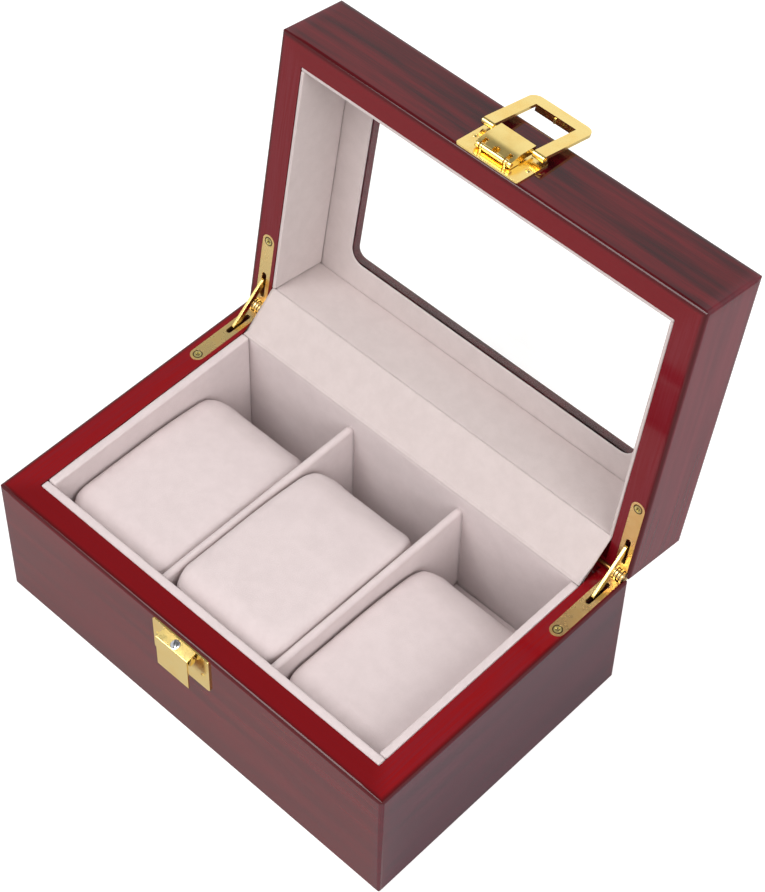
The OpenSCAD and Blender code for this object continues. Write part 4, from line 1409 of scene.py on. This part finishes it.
@dataclass
class Fittings:
    """The gilt hinges, catch and clasp, with their screws, nails and pins.

    Lengths are in mm.  The hook's numbers are the thickness of its sheet, the fall of
    its shoulder, the places of the outer and inner points of its fold past the two
    faces, the rounding of its foot, and the radius, stand and drop of its keeper.  The
    keeper is rolled in two halves so that the bail's bump passes between them.  The
    screw's head is a dome that ends at dome_share of its height, so that it has a flat.
    """

    model: Model
    effects: Effects
    sheet: float = 0.6
    shoulder_fall: float = 1.1
    fold_outside: tuple[tuple[float, float], ...] = ((0.3, 0.08), (0.08, -0.06), (0.0, -0.35))
    fold_inside: tuple[tuple[float, float], ...] = ((0.25, 0.08), (0.06, 0.0), (0.0, -0.2))
    foot_round: float = 0.15
    keeper_radius: float = 1.38
    keeper_stand: float = 2.33
    keeper_drop: float = 3.81
    keeper_gap: float = 4.4
    keeper_turn: tuple[float, float] = (110.0, 430.0)
    head_radius: float = 1.7
    head_height: float = 0.9
    head_slot: float = 0.6
    head_turn: float = 35.0
    washer: tuple[float, float] = (-0.5, 0.2)
    pin_radius: float = 0.75
    pin_inner_end: float = 64.0
    pin_play: float = 0.05
    edge_round: float = 0.08
    plate_round: float = 0.1
    leaf_round: float = 0.12
    screw_round: float = 0.06
    keeper_points: int = 25
    dome_points: int = 9
    dome_share: float = 0.98

    def metal(self, name: str, base: Colour, worn: Colour, rough: float, slot: str = "gilt") -> Metal:
        """A metal of the two colours and the roughness."""
        return Metal(name, slot, self.effects, base, worn, rough)

    def build(self) -> None:
        """Dresses the metal nodes and makes the hook, its screw and the hinge pins."""
        gilt = self.metal("polished gilt", (1.0, 0.78, 0.30), (1.0, 0.66, 0.18), 0.16)
        leaf = self.metal("satin gilt", (1.0, 0.75, 0.33), (0.90, 0.56, 0.17), 0.25)
        brown = self.metal("shaded gilt", (0.62, 0.34, 0.11), (0.34, 0.16, 0.05), 0.25)
        steel = self.metal("bright steel", (0.60, 0.61, 0.64), (0.45, 0.45, 0.47), 0.12, "steel")
        copper = self.metal("dull copper", (0.42, 0.20, 0.09), (0.25, 0.11, 0.05), 0.3, "copper")
        screws = ScrewMetal(
            "tarnished gilt", "gilt", self.effects, (0.80, 0.72, 0.34), (0.55, 0.45, 0.18), 0.3,
            heads=self.heads(),
        )
        for node in ("catch_plate", "catch_nails", "clasp_plate", "clasp_lever", "clasp_bail",
                     "clasp_nails", "bail_pin", "stay_left", "stay_right"):
            self.model.dress(node, gilt, self.plate_round)
        for side in ("left", "right"):
            self.model.dress(f"hinge_leaf_base_{side}", leaf, self.leaf_round)
            self.model.dress(f"hinge_leaf_lid_{side}", leaf, self.leaf_round)
        for node in ("hinge_screws_base", "hinge_screws_lid"):
            self.model.dress(node, screws, self.screw_round)
        self.model.dress("lever_pin", copper)
        self.hook(gilt)
        self.hook_screw(steel)
        self.hinge_pins(brown)

    def heads(self) -> tuple[Place, ...]:
        """The middles of the hinge screws' heads, the lid's ones as the lid stands open."""
        hinge = self.model.hinge
        low, high = self.model.box("hinge_screws_base")
        lid_low, lid_high = self.model.box("hinge_screws_lid", shut=True)
        across = (high[1] - low[1]) / 2
        lid_middle = np.array([0.0, (lid_low[1] + lid_high[1]) / 2, lid_low[2]])
        _, lid_y, lid_z = hinge.turned(lid_middle, -hinge.angle)
        return tuple(
            (float(x), float(y), float(z))
            for x in (low[0] + across, high[0] - across)
            for y, z in (((low[1] + high[1]) / 2, high[2]), (lid_y, lid_z))
        )

    def hook(self, finish: Metal) -> None:
        """The hook: one folded sheet and the rolled keeper that hangs inside it.

        The sheet is a rectangle carried along its fold, given by the places off the
        front and the heights of its two faces.  The keeper is a cylinder under a web,
        and its outline is carried along the latch on both sides of a gap.

        Args:
            finish: The metal.
        """
        low, high = self.model.box("catch_hook")
        root, front, foot, top = high[1], low[1], low[2], high[2]
        fold = top - self.shoulder_fall
        faces = []
        for depth, corner, lift in (
            (0.0, self.fold_outside, self.foot_round), (self.sheet, self.fold_inside, -self.foot_round),
        ):
            bend = np.array([front + depth, fold - depth]) + corner
            low_end = [[front + depth, foot + self.foot_round], [front + depth + lift, foot]]
            faces.append(np.concatenate([[[root, top - depth]], bend, low_end]))
        outer_face, inner_face = faces
        sheet = np.empty((len(outer_face), 4, 3))
        sheet[..., 0] = [low[0], high[0], high[0], low[0]]
        sheet[:, :2, 1:] = outer_face[:, None]
        sheet[:, 2:, 1:] = inner_face[:, None]
        middle = root + self.sheet - self.keeper_stand
        height = top - self.keeper_drop
        turn = np.linspace(*np.radians(self.keeper_turn), self.keeper_points)
        around = np.stack([np.cos(turn), np.sin(turn)], axis=1)
        web = np.array([[self.sheet / 2, fold - height], [-self.sheet / 2, fold - height]])
        outline = np.concatenate([self.keeper_radius * around, web]) + [middle, height]
        centre, gap = (low[0] + high[0]) / 2, self.keeper_gap / 2
        rolls = [
            tube(swept(outline, np.array(ends), Axis.X))
            for ends in ((low[0], centre - gap), (centre + gap, high[0]))
        ]
        piece = together(tube(sheet), *rolls).piece("catch_hook_folded")
        self.creased(piece)
        self.model.stand_in(piece, finish, "catch_hook")

    def hook_screw(self, finish: Metal) -> None:
        """The screw on the hook's shoulder: a low dome in two halves with the slot between.

        Each half is a stack of circles, cut off at the slot, whose radii follow a quarter
        of an ellipse.  The stack stands square to the shoulder.

        Args:
            finish: The metal.
        """
        low, high = self.model.box("catch_hook")
        slope = math.atan2(self.shoulder_fall, high[1] - low[1])
        rise = np.linspace(0, self.dome_share, self.dome_points)
        radii = self.head_radius * np.sqrt(1 - rise**2)
        plan = radii[:, None, None] * circle()
        parts = [swept(np.stack([plan[0]] * 2), np.array(self.washer), Axis.Z)]
        for side in (1, -1):
            half = plan.copy()
            half[..., 0] = side * np.maximum(side * half[..., 0], self.head_slot / 2)
            parts.insert(0, swept(half, self.head_height * rise, Axis.Z))
        spin = Matrix.Rotation(math.radians(self.head_turn), 3, "Z")
        turned = np.array(Matrix.Rotation(slope, 3, "X") @ spin)
        middle = (low + high) / 2
        middle[2] = high[2] - self.shoulder_fall / 2
        piece = together(*(tube(part @ turned.T + middle) for part in parts)).piece("catch_screw_slotted")
        self.creased(piece)
        self.model.stand_in(piece, finish, "catch_screw")

    def hinge_pins(self, finish: Metal) -> None:
        """The hinge pins, which swell where they run on towards the flap.

        Args:
            finish: The metal.
        """
        low, high = self.model.box("hinge_pins")
        radius = (high[2] - low[2]) / 2
        y, z = (low[1] + high[1]) / 2, (low[2] + high[2]) / 2
        radii = np.array([self.pin_radius, self.pin_radius, radius, radius])
        outlines = radii[:, None, None] * circle() + [y, z]
        pins = []
        for side, leaf in ((-1, "left"), (1, "right")):
            ends = [float(corner[0]) for corner in self.model.box(f"hinge_leaf_base_{leaf}")][::side]
            outer = ends[1] - side * self.pin_play
            stations = np.array([side * self.pin_inner_end, ends[0], ends[0], outer])
            pins.append(tube(swept(outlines, stations, Axis.X)))
        piece = together(*pins).piece("hinge_pins_swelled")
        self.creased(piece)
        self.model.stand_in(piece, finish, "hinge_pins")

    def creased(self, piece: bpy.types.Object) -> None:
        """Rounds a metal piece's edges a little and keeps its faces flat."""
        rounded(piece, self.edge_round)
        modify(piece, "Flat shading", "WEIGHTED_NORMAL", keep_sharp=True)
        settled(piece)


def main() -> None:
    """Builds the sub-assemblies in order."""
    logging.basicConfig(level=logging.INFO, format="%(message)s")
    model = Model()
    effects = Effects()
    velvet = Velvet("pale velvet", "velvet", effects)
    # The lid's velvet is the pale velvet painted darker, as painted shade on the lid's lining, card and flap.
    shaded_lid_velvet = Velvet("lid velvet with painted shade", "velvet", effects, (0.65, 0.56, 0.545), (0.57, 0.485, 0.47))
    Studio().build()
    for part in (
        Woodwork(model, effects),
        Lining(model, velvet, shaded_lid_velvet),
        Cushions(model, velvet),
        Fittings(model, effects),
    ):
        part.build()


if __name__ == "__main__":
    main()
